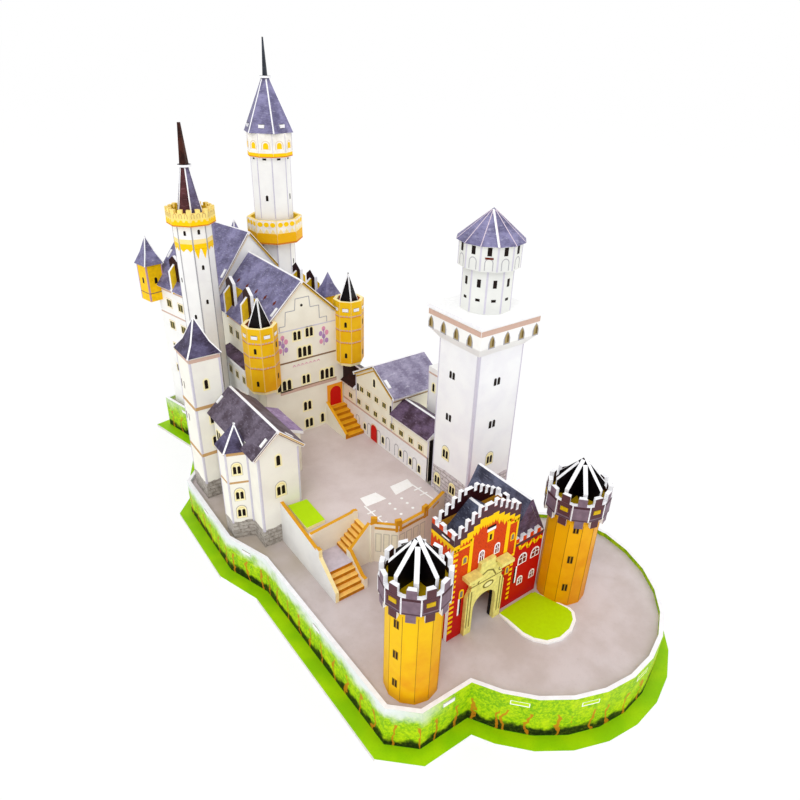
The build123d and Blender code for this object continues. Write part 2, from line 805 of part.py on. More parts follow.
pieces["range_walls"] = high_part + near_part + far_part + range_tabs()
high_section = roof_section(gable_low, gable_high, range_eaves, range_peak, roof_lip)
range_roof = prism_x(high_section, range_face - verge, range_right + verge)
pieces["range_roof"] = range_roof - range_tabs(play)
low_section = roof_section(range_face, low_right, range_low_wall, low_peak, roof_lip)
turret_x, turret_y = far_turret_size
far_zone = upright(low_right, low_right + turret_x, far_turret_y - turret_y / 2, far_turret_y + turret_y / 2)
hall_side = upright(hall_left, hall_right, hall_front, beyond)
near_roof = prism_y(low_section, range_front - verge, gable_low) - far_zone
far_roof = prism_y(low_section, gable_high, range_back + verge) - hall_side
pieces["range_low_roofs"] = group(near_roof, far_roof)
turret_walls = block(0, turret_x, -turret_y / 2, turret_y / 2, deck_top, far_turret_top)
turret_walls -= block(card, turret_x - card, card - turret_y / 2, turret_y / 2 - card, -1, far_turret_top - card)
pieces["range_turret"] = placed(turret_walls, (low_right, far_turret_y))

# Main hall: the rear block is drawn at the origin and turned into place
hall_peak = hall_eaves + hall_rise
rear_peak = rear_eaves + rear_rise
rear_outline = gable_outline(-rear_half, rear_half, deck_top, rear_eaves, rear_peak)
rear_house = prism_y(rear_outline, 0, rear_long)
rear_house -= upright(-rear_half + card, rear_half - card, card, rear_long - card)
rear_section = roof_section(-rear_half, rear_half, rear_eaves, rear_peak, hall_lip)
rear_roof = prism_y(rear_section, -hall_verge, rear_long + hall_verge)
behind = placed(upright(-beyond, beyond, 0, beyond), rear_middle, rear_turn)


def rear_tabs(grow=0.0):
    front = slope_tabs(-rear_half, rear_half, card / 2, rear_eaves, rear_peak, rear_tab_share, grow)
    back = slope_tabs(-rear_half, rear_half, rear_long - card / 2, rear_eaves, rear_peak, rear_tab_share, grow)
    return front + back


def hall_tabs(grow=0.0):
    return slope_tabs(hall_left, hall_right, hall_front + card / 2, hall_eaves, hall_peak, hall_tab_share, grow)


def pinnacle(wall, out, y, eaves, house):
    """Two crossed cards over the eaves of a wall; out is -1 on a left wall and 1 on a right one."""
    axis = wall - out * pinnacle_axis
    outer = wall + out * pinnacle_out
    inner = wall - out * pinnacle_depth
    foot = eaves - pinnacle_drop
    middle = eaves + (pinnacle_shoulder + pinnacle_axis) * 0.75
    long_card = prism_y(
        [
            (outer, foot),
            (outer, eaves + pinnacle_shoulder),
            (axis, eaves + pinnacle_rise),
            (inner, eaves + pinnacle_shoulder),
            (inner, foot),
        ],
        y - card / 2,
        y + card / 2,
    )
    cross_card = prism_x(
        [
            (y - pinnacle_cross, foot),
            (y - pinnacle_cross, eaves + cross_shoulder),
            (y, eaves + cross_rise),
            (y + pinnacle_cross, eaves + cross_shoulder),
            (y + pinnacle_cross, foot),
        ],
        axis - card / 2,
        axis + card / 2,
    )
    long_card -= block(axis - card / 2, axis + card / 2, y - card, y + card, middle, beyond)
    cross_card -= block(axis - card, axis + card, y - card / 2, y + card / 2, 0, middle)
    return largest(long_card - house), largest(cross_card - house)


def eave_notch(wall, out, y, eaves):
    """The notch in the roof's lip that a pinnacle's long card goes through."""
    end = wall + out * 2 * tab
    half = card / 2 + play
    return block(min(wall, end), max(wall, end), y - half, y + half, eaves - tab, eaves + tab)


def two_tier(half, z0, z_break, z1, lip, shrink):
    """A folded roof in two tiers: a flared skirt and a steep pyramid over it."""
    foot = (half[0] + lip, half[1] + lip)
    waist = (half[0] * shrink, half[1] * shrink)
    skirt = prismoid(oblong(*foot), z0, oblong(*waist), z_break)
    cap_foot = Pos(0, 0, z_break) * Rectangle(2 * waist[0], 2 * waist[1])
    shape = skirt + loft([cap_foot, Vertex(0, 0, z1)], ruled=True)
    slant = card * block_slant
    inner_foot = oblong(foot[0] - slant, foot[1] - slant)
    inner = prismoid(inner_foot, z0, oblong(waist[0] - card, waist[1] - card), z_break - 1)
    return shape - inner


def bartizan(place, half, foot, height, rise, skirt, house):
    """A small square turret over the eaves and its roof, both cut to the house that carries them."""
    top = foot + height
    box = block(-half, half, -half, half, foot, top)
    box -= upright(card - half, half - card, card - half, half - card)
    roof = two_tier((half, half), top, top + skirt, top + rise, bartizan_lip, bartizan_waist)
    return largest(placed(box, place) - house), largest(placed(roof, place) - house)


hall_outline = gable_outline(hall_left, hall_right, deck_top, hall_eaves, hall_peak)
hall_section = roof_section(hall_left, hall_right, hall_eaves, hall_peak, hall_lip)
hall_reach = rear_middle[1] + rear_half * sin(radians(rear_turn)) + tab
hall_house = prism_y(hall_outline, hall_front, hall_reach)
hall_house -= upright(hall_left + card, hall_right - card, hall_front + card, beyond)
hall_house = hall_house - behind + hall_tabs()
hall_roof = prism_y(hall_section, hall_front - hall_verge, hall_reach) - behind - hall_tabs(play)
hall_walls_part = [(hall_left, 0), (hall_right, 0), (hall_right, hall_eaves)]
hall_zone = prism_y(hall_walls_part + hall_section[2:] + [hall_section[0], (hall_left, hall_eaves)], hall_front, beyond)
hall_core = hall_zone & upright(hall_left, hall_right, hall_front, beyond)
rear_walls_part = [(-rear_half, 0), (rear_half, 0), (rear_half, rear_eaves)]
rear_zone = prism_y(rear_walls_part + rear_section[2:] + [rear_section[0], (-rear_half, rear_eaves)], 0, rear_long)
rear_zone += rear_roof
rear_core = rear_zone & upright(-rear_half, rear_half, -hall_verge, rear_long + hall_verge)

# Corner turrets, each with a floor card on tabs and a folded cap
turret_caps = []
turret_corners = {"left": hall_left, "right": hall_right}
for side, corner in turret_corners.items():
    place = (corner + turret_out[side][0], hall_front + turret_out[side][1])
    radius, foot = turret_radius[side], turret_foot[side]
    rim_z = foot + turret_height[side]
    disc_z = rim_z - turret_disc
    body = tube(turret_sides, radius, foot, rim_z, flat_front)
    for step, share in enumerate(turret_steps):
        body += slab(ngon(turret_sides, radius * share, flat_front), foot - (step + 1) * card, foot - step * card)
    body -= disc_slots(turret_sides, radius, disc_z, flat_front)
    disc = tabbed_disc(turret_sides, radius, disc_z, flat_front)
    cap_foot = disc_z + card
    cap_top = cap_foot + turret_cap_rise
    cap = folded_cone(4, radius - turret_cap_play, cap_foot, cap_top, turret_cap_turn, wall=thin_card)
    pieces["hall_turret_" + side] = placed(body, place) - hall_zone
    turret_caps += [largest(placed(disc, place) - hall_zone), largest(placed(cap, place) - hall_zone)]
    inside_rim = placed(slab(ngon(turret_sides, radius, flat_front), disc_z, rim_z), place)
    tab_ends = placed(disc_slots(turret_sides, radius, disc_z, flat_front), place)
    hall_roof = hall_roof - pieces["hall_turret_" + side] - inside_rim - tab_ends
pieces["hall_turret_caps"] = group(*turret_caps)

# Pinnacles and bartizans
pinnacles = []
for wall, out, places in ((hall_left, -1, left_pinnacles), (hall_right, 1, right_pinnacles)):
    for y in places:
        pinnacles += pinnacle(wall, out, y, hall_eaves, hall_core)
        hall_roof -= eave_notch(wall, out, y, hall_eaves)
rear_pair = pinnacle(-rear_half, -1, rear_pinnacle, rear_eaves, rear_core)
pinnacles += [placed(one, rear_middle, rear_turn) for one in rear_pair]
rear_roof -= eave_notch(-rear_half, -1, rear_pinnacle, rear_eaves)
towers = []
for x in (-rear_half - bartizan_out, rear_half + bartizan_out):
    place = (x, rear_long + bartizan_back)
    pair = bartizan(place, bartizan_half, bartizan_foot, bartizan_height, bartizan_rise, bartizan_skirt, rear_zone)
    towers += [placed(one, rear_middle, rear_turn) for one in pair]
place = (hall_right + small_bartizan[0], small_bartizan[1])
towers += bartizan(place, small_bartizan_half, small_bartizan_foot, small_bartizan_height,
                   small_bartizan_rise, small_bartizan_skirt, hall_zone)
pieces["bartizans"] = group(*towers)

# Tall tower beside the rear block
tall_zone = placed(slab(ngon(tower_sides, tall_radius + play, flat_front), 0, beyond), tall_place)
tall_parapet = tall_gallery + tall_gallery_height
gallery_hole = slab(ngon(tower_sides, tall_gallery_radius + play, flat_front), tall_gallery - tab, beyond)
gallery_zone = placed(gallery_hole, tall_place)
tall_shaft = tube(tower_sides, tall_radius, deck_top, tall_top, flat_front)
gallery = tube(tower_sides, tall_gallery_radius, tall_gallery, tall_parapet, flat_front)
gallery += slab(ngon(tower_sides, tall_gallery_radius, flat_front), tall_gallery, tall_gallery + card)
gallery -= slab(ngon(tower_sides, tall_radius + play / 2, flat_front), 0, beyond)
pieces["tall_tower_shaft"] = placed(tall_shaft, tall_place)
pieces["tall_tower_gallery"] = placed(gallery, tall_place)
collar_top = tall_top + tall_collar_height
collar = tube(tall_collar_sides, tall_collar_radius, tall_top, collar_top)
collar += slab(ngon(tall_collar_sides, tall_collar_radius), tall_top, tall_top + card)
pieces["tall_tower_collar"] = placed(collar, tall_place)


def spire(radius, foot, height, top_radius, wall, finial, needle):
    """A folded cone cut off level, a round finial on it and a tapered needle."""
    top = foot + height
    apex = top + height * top_radius / (radius - top_radius)
    cone = folded_cone(cone_sides, radius, foot, apex, cone_turn, cut=top, wall=wall)
    thick, thin, length = needle
    base = top + finial_thick
    tip = slab(ngon(2 * cone_sides, finial), top, base) + frustum(4, thick, base, thin, base + length)
    return cone, tip


tall_cone, tall_tip = spire(
    tall_cone_radius, collar_top, tall_cone_height, tall_cone_top, card, tall_finial, tall_needle
)
disc_z = collar_top + cone_disc_rise
disc_radius = tall_cone_radius - (disc_z - collar_top) / tall_cone_height * (tall_cone_radius - tall_cone_top)
cone_disc = tabbed_disc(cone_sides, disc_radius, disc_z, cone_turn, lean=card / 2)
tall_cone -= disc_slots(cone_sides, disc_radius, disc_z, cone_turn)
pieces["tall_tower_spire"] = placed(group(tall_cone, cone_disc, tall_tip), tall_place)
rear_cover = placed(rear_roof - rear_tabs(play), rear_middle, rear_turn)
rear_walls = placed(rear_house + rear_tabs(), rear_middle, rear_turn)
pieces["hall_rear_roof"] = largest(rear_cover - tall_zone - gallery_zone)
pieces["hall_rear_walls"] = largest(rear_walls - tall_zone - gallery_zone)
pieces["hall_front_walls"] = largest(hall_house - tall_zone - gallery_zone)
pieces["hall_pinnacles"] = group(*[largest(one - tall_zone) for one in pinnacles])
pieces["hall_front_roof"] = largest(hall_roof - tall_zone - gallery_zone)

# Slim tower beside the front wing
slim_shaft = tube(tower_sides, slim_radius, deck_top, slim_top, flat_front)
slim_parapet = slim_top + slim_gallery_height
slim_ring = tube(tower_sides, slim_gallery_radius, slim_top, slim_parapet, flat_front)
slim_ring += slab(ngon(tower_sides, slim_gallery_radius, flat_front), slim_top, slim_top + card)
notches, notch_width, notch_depth = slim_notches
panel = 2 * slim_gallery_radius * sin(pi / tower_sides)
for k in range(notches):
    turn = Rot(0, 0, 360 * (k + 0.5) / notches)
    notch = Box(3 * tab, panel * notch_width, 2 * notch_depth)
    slim_ring -= turn * Pos(slim_gallery_radius, 0, slim_parapet) * notch
slim_foot = slim_top + card
slim_cone, slim_tip = spire(
    slim_cone_radius, slim_foot, slim_cone_height, slim_cone_top, thin_card, slim_finial, slim_needle
)
pieces["slim_tower_shaft"] = placed(slim_shaft, slim_place)
pieces["slim_tower_gallery"] = placed(slim_ring, slim_place)
pieces["slim_tower_spire"] = placed(group(slim_cone, slim_tip), slim_place)

# Bower, its bay and its small wing
bower_peak = bower_eaves + bower_rise
bower_outline = gable_outline(bower_left, bower_right, deck_top, bower_eaves, bower_peak)
bower = prism_y(bower_outline, bower_front, bower_back)
bower -= upright(bower_left + card, bower_right - card, bower_front + card, bower_back - card)
bower_section = roof_section(bower_left, bower_right, bower_eaves, bower_peak, bower_lip)
bower_cover = prism_y(bower_section, bower_front - bower_verge[0], bower_back + bower_verge[1])
bower_roof = bower_cover
for y in (bower_front + card / 2, bower_back - card / 2):
    bower += slope_tabs(bower_left, bower_right, y, bower_eaves, bower_peak, 0.5, 0, bower_tab)
    bower_roof -= slope_tabs(bower_left, bower_right, y, bower_eaves, bower_peak, 0.5, play, bower_tab)
pieces["bower_walls"] = bower
bay_points = [
    (bower_left - bay_reach, bay_foot[0] + bay_taper),
    (bower_left, bay_foot[0]),
    (bower_left, bay_foot[1]),
    (bower_left - bay_reach, bay_foot[1] - bay_taper),
]
bay_top = bower_eaves - bay_drop
bay_apex = bower_peak + bay_rise
bay_tip = (bower_left - card, (bay_foot[0] + bay_foot[1]) / 2)
bay = slab(bay_points, deck_top, bay_top) - slab(grown(bay_points, -card), 0, beyond)
bay -= upright(bower_left - card - 1, bower_left + 1, bay_foot[0] + card, bay_foot[1] - card)
bay_foot_outer = Pos(0, 0, bay_top) * Polygon(*grown(bay_points, bay_lip), align=None)
bay_foot_inner = Pos(0, 0, bay_top) * Polygon(*grown(bay_points, -bay_lip), align=None)
bay_cover = loft([bay_foot_outer, Vertex(*bay_tip, bay_apex)], ruled=True)
bay_cover -= loft([bay_foot_inner, Vertex(*bay_tip, bay_apex - card * bay_slant)], ruled=True)
bay_cover -= upright(bower_left, bower_right, bower_front, bower_back) + bower_cover
pieces["bower_roof"] = bower_roof - slab(bay_points, 0, bay_apex - bay_taper)
pieces["bower_bay"] = group(bay, largest(bay_cover))
wing_low, wing_high = small_wing_ends
small_wing = block(bower_right, small_wing_right, wing_low, wing_high, court_top, small_wing_wall)
small_wing -= upright(bower_right - 1, small_wing_right - card, wing_low + card, wing_high - card)
small_wing_top = small_wing_wall + small_wing_rise
wing_cover = prism_y(
    [
        (bower_right, small_wing_top),
        (bower_right, small_wing_top - card),
        (small_wing_right + roof_lip, small_wing_wall),
        (small_wing_right + roof_lip, small_wing_wall + card),
    ],
    wing_low - hall_verge,
    wing_high + hall_verge,
)
wing_gable = [(bower_right, small_wing_wall), (small_wing_right, small_wing_wall), (bower_right, small_wing_top)]
small_wing += prism_y(wing_gable, wing_low, wing_low + card) + prism_y(wing_gable, wing_high - card, wing_high)
above_cover = [(bower_right, small_wing_top - card), (small_wing_right + roof_lip, small_wing_wall),
               (small_wing_right + roof_lip, beyond), (bower_right, beyond)]
small_wing -= prism_y(above_cover, wing_low - card, wing_high + card)
pieces["bower_wing"] = group(small_wing, largest(wing_cover - pieces["bower_roof"]))

# Left block
left_box = block(block_left, block_right, block_front, block_back, deck_top, block_wall)
left_box -= upright(block_left + card, block_right - card, block_front + card, block_back - card)
pieces["left_block_walls"] = left_box
left_half = ((block_right - block_left) / 2, (block_back - block_front) / 2)
left_middle = ((block_left + block_right) / 2, (block_front + block_back) / 2)
left_roof = two_tier(left_half, block_wall, block_wall + block_skirt, block_wall + block_rise, block_lip, block_waist)
pieces["left_block_roof"] = placed(left_roof, left_middle)

# Annex against the hall
annex_low, annex_high = annex_ends
annex = block(annex_left, hall_left, annex_low, annex_high, deck_top, annex_wall)
annex -= upright(annex_left + card, hall_left + 1, annex_low + card, annex_high - card)
slim_zone = placed(slab(ngon(tower_sides, slim_radius + play, flat_front), 0, beyond), slim_place)
annex -= slim_zone
annex_roof = annex_wall + annex_rise
annex_cover = prism_y(
    [
        (annex_left - roof_lip, annex_wall),
        (hall_left, annex_roof - card),
        (hall_left, annex_roof),
        (annex_left - roof_lip, annex_wall + card),
    ],
    annex_low,
    annex_high,
)
pieces["annex"] = group(largest(annex), largest(annex_cover - slim_zone - annex))

# Lawns: one in the court, one before the gate
court_lawn = slab(court_lawn_points, court_top, court_top + card)
gate_lawn = slab(gate_lawn_points, deck_top, deck_top + card / 2)
pieces["lawns"] = group(court_lawn, gate_lawn)

# The parts are moved so that the origin is under the middle of the board
board = pieces["base_board"].bounding_box()
shift = Pos(-(board.min.X + board.max.X) / 2, -(board.min.Y + board.max.Y) / 2, 0)
os.makedirs("parts", exist_ok=True)
for name, shape in pieces.items():
    export_step(shift * shape, "parts/" + name + ".step")
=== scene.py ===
import math

import bmesh
import bpy
from mathutils import Matrix, Vector


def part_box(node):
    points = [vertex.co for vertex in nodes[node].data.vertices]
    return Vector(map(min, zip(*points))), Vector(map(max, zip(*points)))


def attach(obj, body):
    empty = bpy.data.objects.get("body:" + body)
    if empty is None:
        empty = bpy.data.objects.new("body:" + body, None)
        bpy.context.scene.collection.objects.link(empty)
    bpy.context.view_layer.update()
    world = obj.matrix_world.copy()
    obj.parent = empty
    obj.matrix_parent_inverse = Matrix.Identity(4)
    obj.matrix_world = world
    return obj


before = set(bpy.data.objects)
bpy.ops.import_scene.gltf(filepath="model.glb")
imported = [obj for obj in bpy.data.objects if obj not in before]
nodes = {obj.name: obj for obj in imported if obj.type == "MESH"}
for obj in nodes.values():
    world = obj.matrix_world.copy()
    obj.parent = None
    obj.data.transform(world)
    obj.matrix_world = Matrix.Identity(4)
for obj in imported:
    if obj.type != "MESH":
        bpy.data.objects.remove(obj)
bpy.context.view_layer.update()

mm = 0.001

# Plan coordinates are the castle's own millimetres. The square tower's corner ties them to the frame.
squareCorner = (20.5, -62.4)
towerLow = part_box("square_tower_walls")[0]
planShift = Vector((towerLow.x / mm - squareCorner[0], towerLow.y / mm - squareCorner[1], 0.0))


def plan(x, y, z=0.0):
    return (Vector((x, y, z)) + planShift) * mm


def ink(red, green, blue):
    # a printed colour, 0 to 255, as the linear colour that a shader wants
    def linear(c):
        c = c / 255
        return c / 12.92 if c <= 0.04045 else ((c + 0.055) / 1.055) ** 2.4
    return (linear(red), linear(green), linear(blue), 1.0)


def shaded(colour, share):
    return tuple(min(1.0, c * share) for c in colour[:3]) + (1.0,)


def mathNode(operation, reflected=False):
    # an operator of Value that adds one Math node
    def method(self, other):
        first, second = (other, self) if reflected else (self, other)
        return self.finish.add("ShaderNodeMath", {"operation": operation}, {0: first, 1: second})
    return method


class Value:
    # a number on its way through a shader: sums on it add Math nodes
    def __init__(self, finish, socket):
        self.finish = finish
        self.socket = socket

    __add__ = mathNode("ADD")
    __radd__ = mathNode("ADD", True)
    __sub__ = mathNode("SUBTRACT")
    __rsub__ = mathNode("SUBTRACT", True)
    __mul__ = mathNode("MULTIPLY")
    __rmul__ = mathNode("MULTIPLY", True)
    __truediv__ = mathNode("DIVIDE")
    __rtruediv__ = mathNode("DIVIDE", True)
    __mod__ = mathNode("FLOORED_MODULO")
    __lt__ = mathNode("LESS_THAN")
    __gt__ = mathNode("GREATER_THAN")
    __and__ = mathNode("MINIMUM")
    __or__ = mathNode("MAXIMUM")

    def __floordiv__(self, other):
        return self.finish.add("ShaderNodeMath", {"operation": "FLOOR"}, {0: self / other})

    def ease(self, low, high):
        # 0 below low, 1 above high, smooth between them
        settings = {"interpolation_type": "SMOOTHSTEP"}
        return self.finish.add("ShaderNodeMapRange", settings, {0: self, 1: low, 2: high})


class Finish:
    # one material: a Principled shader and the nodes that feed it
    def __init__(self, name, rough=0.5):
        self.material = bpy.data.materials.new(name)
        self.material.use_nodes = True
        self.tree = self.material.node_tree
        self.shader = self.tree.nodes["Principled BSDF"]
        self.shader.inputs["Roughness"].default_value = rough
        self.shader.inputs["Specular IOR Level"].default_value = 0.12
        self.place = self.add("ShaderNodeTexCoord", {}, {}, "Object")

    def add(self, kind, settings, inputs, output=0):
        node = self.tree.nodes.new(kind)
        for name, value in settings.items():
            setattr(node, name, value)
        for key, value in inputs.items():
            if isinstance(value, Value):
                self.tree.links.new(value.socket, node.inputs[key])
            else:
                node.inputs[key].default_value = value
        return Value(self, node.outputs[output])

    def parts(self, vector):
        return [self.add("ShaderNodeSeparateXYZ", {}, {0: vector}, i) for i in range(3)]

    def axes(self):
        # x, y and z in the frame's millimetres
        return [part * (1 / mm) for part in self.parts(self.place)]

    def facing(self):
        # the three parts of the surface's own direction
        return self.parts(self.add("ShaderNodeNewGeometry", {}, {}, "Normal"))

    def noise(self, size, detail=3.0, stretch=None, rough=0.55):
        # cloudy noise from 0 to 1, with features of about size millimetres
        where = self.place
        if stretch:
            where = self.add("ShaderNodeMapping", {}, {"Vector": where, "Scale": stretch})
        inputs = {"Vector": where, "Scale": 1 / (size * mm), "Detail": detail, "Roughness": rough}
        return self.add("ShaderNodeTexNoise", {}, inputs)

    def mix(self, share, first, second):
        return self.add("ShaderNodeMix", {"data_type": "RGBA"}, {0: share, 6: first, 7: second}, 2)

    def feed(self, socket, value):
        self.tree.links.new(value.socket, self.shader.inputs[socket])

    def look(self, tone, rough, height, depth, strength=0.5):
        # the colour, the roughness and the relief of the surface
        self.feed("Base Color", tone)
        if rough:
            self.feed("Roughness", rough)
        inputs = {"Height": height, "Distance": depth * mm, "Strength": strength}
        self.feed("Normal", self.add("ShaderNodeBump", {}, inputs))
        return self


def printedInk(name, colour, change=0.06, size=1.6, rough=0.5):
    # a field of one printed colour, a little uneven, as on coated card
    f = Finish(name)
    grain = f.noise(size, 4.0)
    tone = f.mix(grain.ease(0.3, 0.72), shaded(colour, 1 - change * 2.2), shaded(colour, 1 + change))
    return f.look(tone, grain * 0.12 + (rough - 0.06), f.noise(0.35, 2.0), 0.012)


def foamEdge(name, colour):
    # the cut edge of the card: a fine closed foam between two papers
    f = Finish(name, 0.75)
    pores = f.add("ShaderNodeTexVoronoi", {}, {"Vector": f.place, "Scale": 1 / (0.28 * mm)})
    tone = f.mix(f.noise(3.0, 2.0).ease(0.35, 0.7), shaded(colour, 0.93), colour)
    tone = f.mix(pores.ease(0.0, 0.25), shaded(colour, 0.88), tone)
    return f.look(tone, None, pores, 0.03, 0.4)


def plainWall(name, colour, shade, foot=0.0, light=None, dark=None):
    # pale printed plaster, with a foot of rough stones up to a height in millimetres
    f = Finish(name)
    patch = f.noise(14.0)
    tone = f.mix(patch.ease(0.35, 0.7), colour, shade)
    tone = f.mix(f.noise(1.1, 4.0).ease(0.62, 0.8) * 0.35, tone, ink(214, 210, 205))
    if foot:
        x, y, z = f.axes()
        course = z + (f.noise(6.0, 2.0) - 0.5) * 1.6
        along = x + y + course // 2.4 * 2.9 + (f.noise(4.0, 2.0) - 0.5) * 2.2
        joint = (course % 2.4 < 0.5) | (along % 5.2 < 0.45)
        stone = f.mix(f.noise(2.2).ease(0.3, 0.7), light, dark)
        joints = f.mix(f.noise(1.0, 2.0).ease(0.3, 0.6), ink(96, 88, 80), ink(150, 142, 134))
        stone = f.mix(joint * 0.75, stone, joints)
        tone = f.mix(z + (f.noise(5.0, 2.0) - 0.5) * 3.0 < foot, tone, stone)
    return f.look(tone, patch * 0.15 + 0.42, f.noise(0.4, 2.0), 0.012)


def slateRoof(name, light, dark, fleck):
    # printed slates: short strokes across the slope over cloudy patches
    f = Finish(name)
    tone = f.mix(f.noise(9.0, 4.0, None, 0.65).ease(0.34, 0.68), dark, light)
    stroke = f.noise(1.0, 3.0, (0.35, 0.35, 1.6), 0.7)
    tone = f.mix(stroke.ease(0.55, 0.72) * 0.55, tone, fleck)
    tone = f.mix((1 - stroke).ease(0.55, 0.72) * 0.5, tone, shaded(dark, 0.45))
    return f.look(tone, stroke * 0.25 + 0.36, stroke, 0.02)


def foliage(name, top):
    # the hedge printed round the base: green leaves, ochre trunks and a dark foot, with a painted highlight
    # that turns its top pale on the left
    f = Finish(name)
    x, y, z = f.axes()
    leaf = f.noise(1.5, 4.0, None, 0.7)
    clump = f.noise(7.0)
    green = f.mix(leaf.ease(0.4, 0.62), ink(122, 178, 6), ink(178, 216, 4))
    green = f.mix(clump.ease(0.45, 0.75) * 0.6, green, ink(204, 228, 20))
    depth = z / top
    dark = f.mix(leaf.ease(0.45, 0.7), ink(18, 34, 10), ink(70, 84, 20))
    low = depth + (clump - 0.5) * 0.4
    tone = f.mix((0.34 - low).ease(0.0, 0.12), green, dark)
    nx, ny = f.facing()[:2]
    along = y * nx - x * ny + (f.noise(8.0, 2.0) - 0.5) * 9.0
    trunk = (along % 11.0 < 1.3) & (depth < 0.62) & (leaf > 0.36)
    tone = f.mix(trunk * 0.85, tone, ink(196, 122, 22))
    # painted highlight: the top of the hedge turns pale towards the left, where the light falls
    paintedHighlight = (depth + (clump - 0.5) * 0.5).ease(0.62, 0.95) * (0 - x).ease(48.0, 80.0)
    tone = f.mix(paintedHighlight, tone, ink(226, 232, 232))
    tone = f.mix((0.1 - depth).ease(0.0, 0.02) * 0.6, tone, ink(120, 190, 20))
    return f.look(tone, leaf * 0.2 + 0.4, leaf, 0.015)


def grass(name, colour, shade):
    f = Finish(name)
    blade = f.noise(0.9, 4.0, None, 0.7)
    tone = f.mix(f.noise(16.0, 2.0).ease(0.35, 0.7), shade, colour)
    tone = f.mix(blade.ease(0.5, 0.75) * 0.4, tone, shaded(shade, 0.8))
    return f.look(tone, blade * 0.2 + 0.4, blade, 0.012)


def deckPrint(name, light, dark):
    # sandy grey ground with fine grit and a few wide stains
    f = Finish(name)
    x, y = f.axes()[:2]
    grit = f.noise(0.8, 4.0, None, 0.7)
    tone = f.mix(f.noise(26.0, 4.0, None, 0.6).ease(0.36, 0.66), dark, light)
    left = (-30.0 - x).ease(0.0, 30.0) & (70.0 + y).ease(0.0, 40.0)
    tone = f.mix(left * f.noise(40.0, 2.0).ease(0.35, 0.6) * 0.8, tone, ink(172, 160, 138))
    tone = f.mix(grit.ease(0.55, 0.8) * 0.3, tone, ink(150, 138, 132))
    return f.look(tone, grit * 0.2 + 0.32, grit, 0.01)


def brick(name, low, high, joint, change, patch):
    # small bricks in courses with a darker joint, and a soft change from low to high
    f = Finish(name)
    x, y, z = f.axes()
    joints = (z % 0.9 < 0.16) | ((x + y + z // 0.9 * 0.93) % 2.0 < 0.18)
    if change:
        share = (z + (f.noise(8.0) - 0.5) * 9.0).ease(48.0, 66.0)
    else:
        share = f.noise(10.0).ease(0.35, 0.68)
    tone = f.mix(share, low, high)
    tone = f.mix(f.noise(1.3).ease(0.5, 0.75) * 0.4, tone, patch)
    cloud = f.noise(4.0, 2.0) if change else f.noise(10.0)
    return f.look(f.mix(joints * 0.32, tone, joint), cloud * 0.15 + 0.38, joints, 0.01, 0.2)


def insideWall(name):
    # behind the battlements: dark red above, ochre below
    f = Finish(name, 0.45)
    z = f.axes()[2]
    tone = f.mix(z > 84.6, ink(206, 146, 40), ink(50, 14, 18))
    tone = f.mix(f.noise(1.6).ease(0.5, 0.75) * 0.3, tone, ink(40, 14, 14))
    return f.look(tone, None, f.noise(0.4, 2.0), 0.01)


def shadedTube(name, light, deep, low, high):
    # a printed tower wall, darker towards its foot, with painted shade on the facets turned away from the
    # light
    f = Finish(name)
    z = f.axes()[2]
    nx, ny = f.facing()[:2]
    # painted shade: facets facing right, and a little those facing front, take more of the deep colour
    side = (nx * 0.8 - ny * 0.35) * 0.5 + 0.5
    share = side * 0.55 + (high - z) / (high - low) * 0.55 + (f.noise(9.0) - 0.5) * 0.8
    grain = f.noise(1.2, 4.0)
    tone = f.mix(grain.ease(0.55, 0.8) * 0.16, f.mix(share.ease(0.25, 1.0), light, deep), deep)
    return f.look(tone, grain * 0.16 + 0.34, f.noise(0.4, 2.0), 0.01)


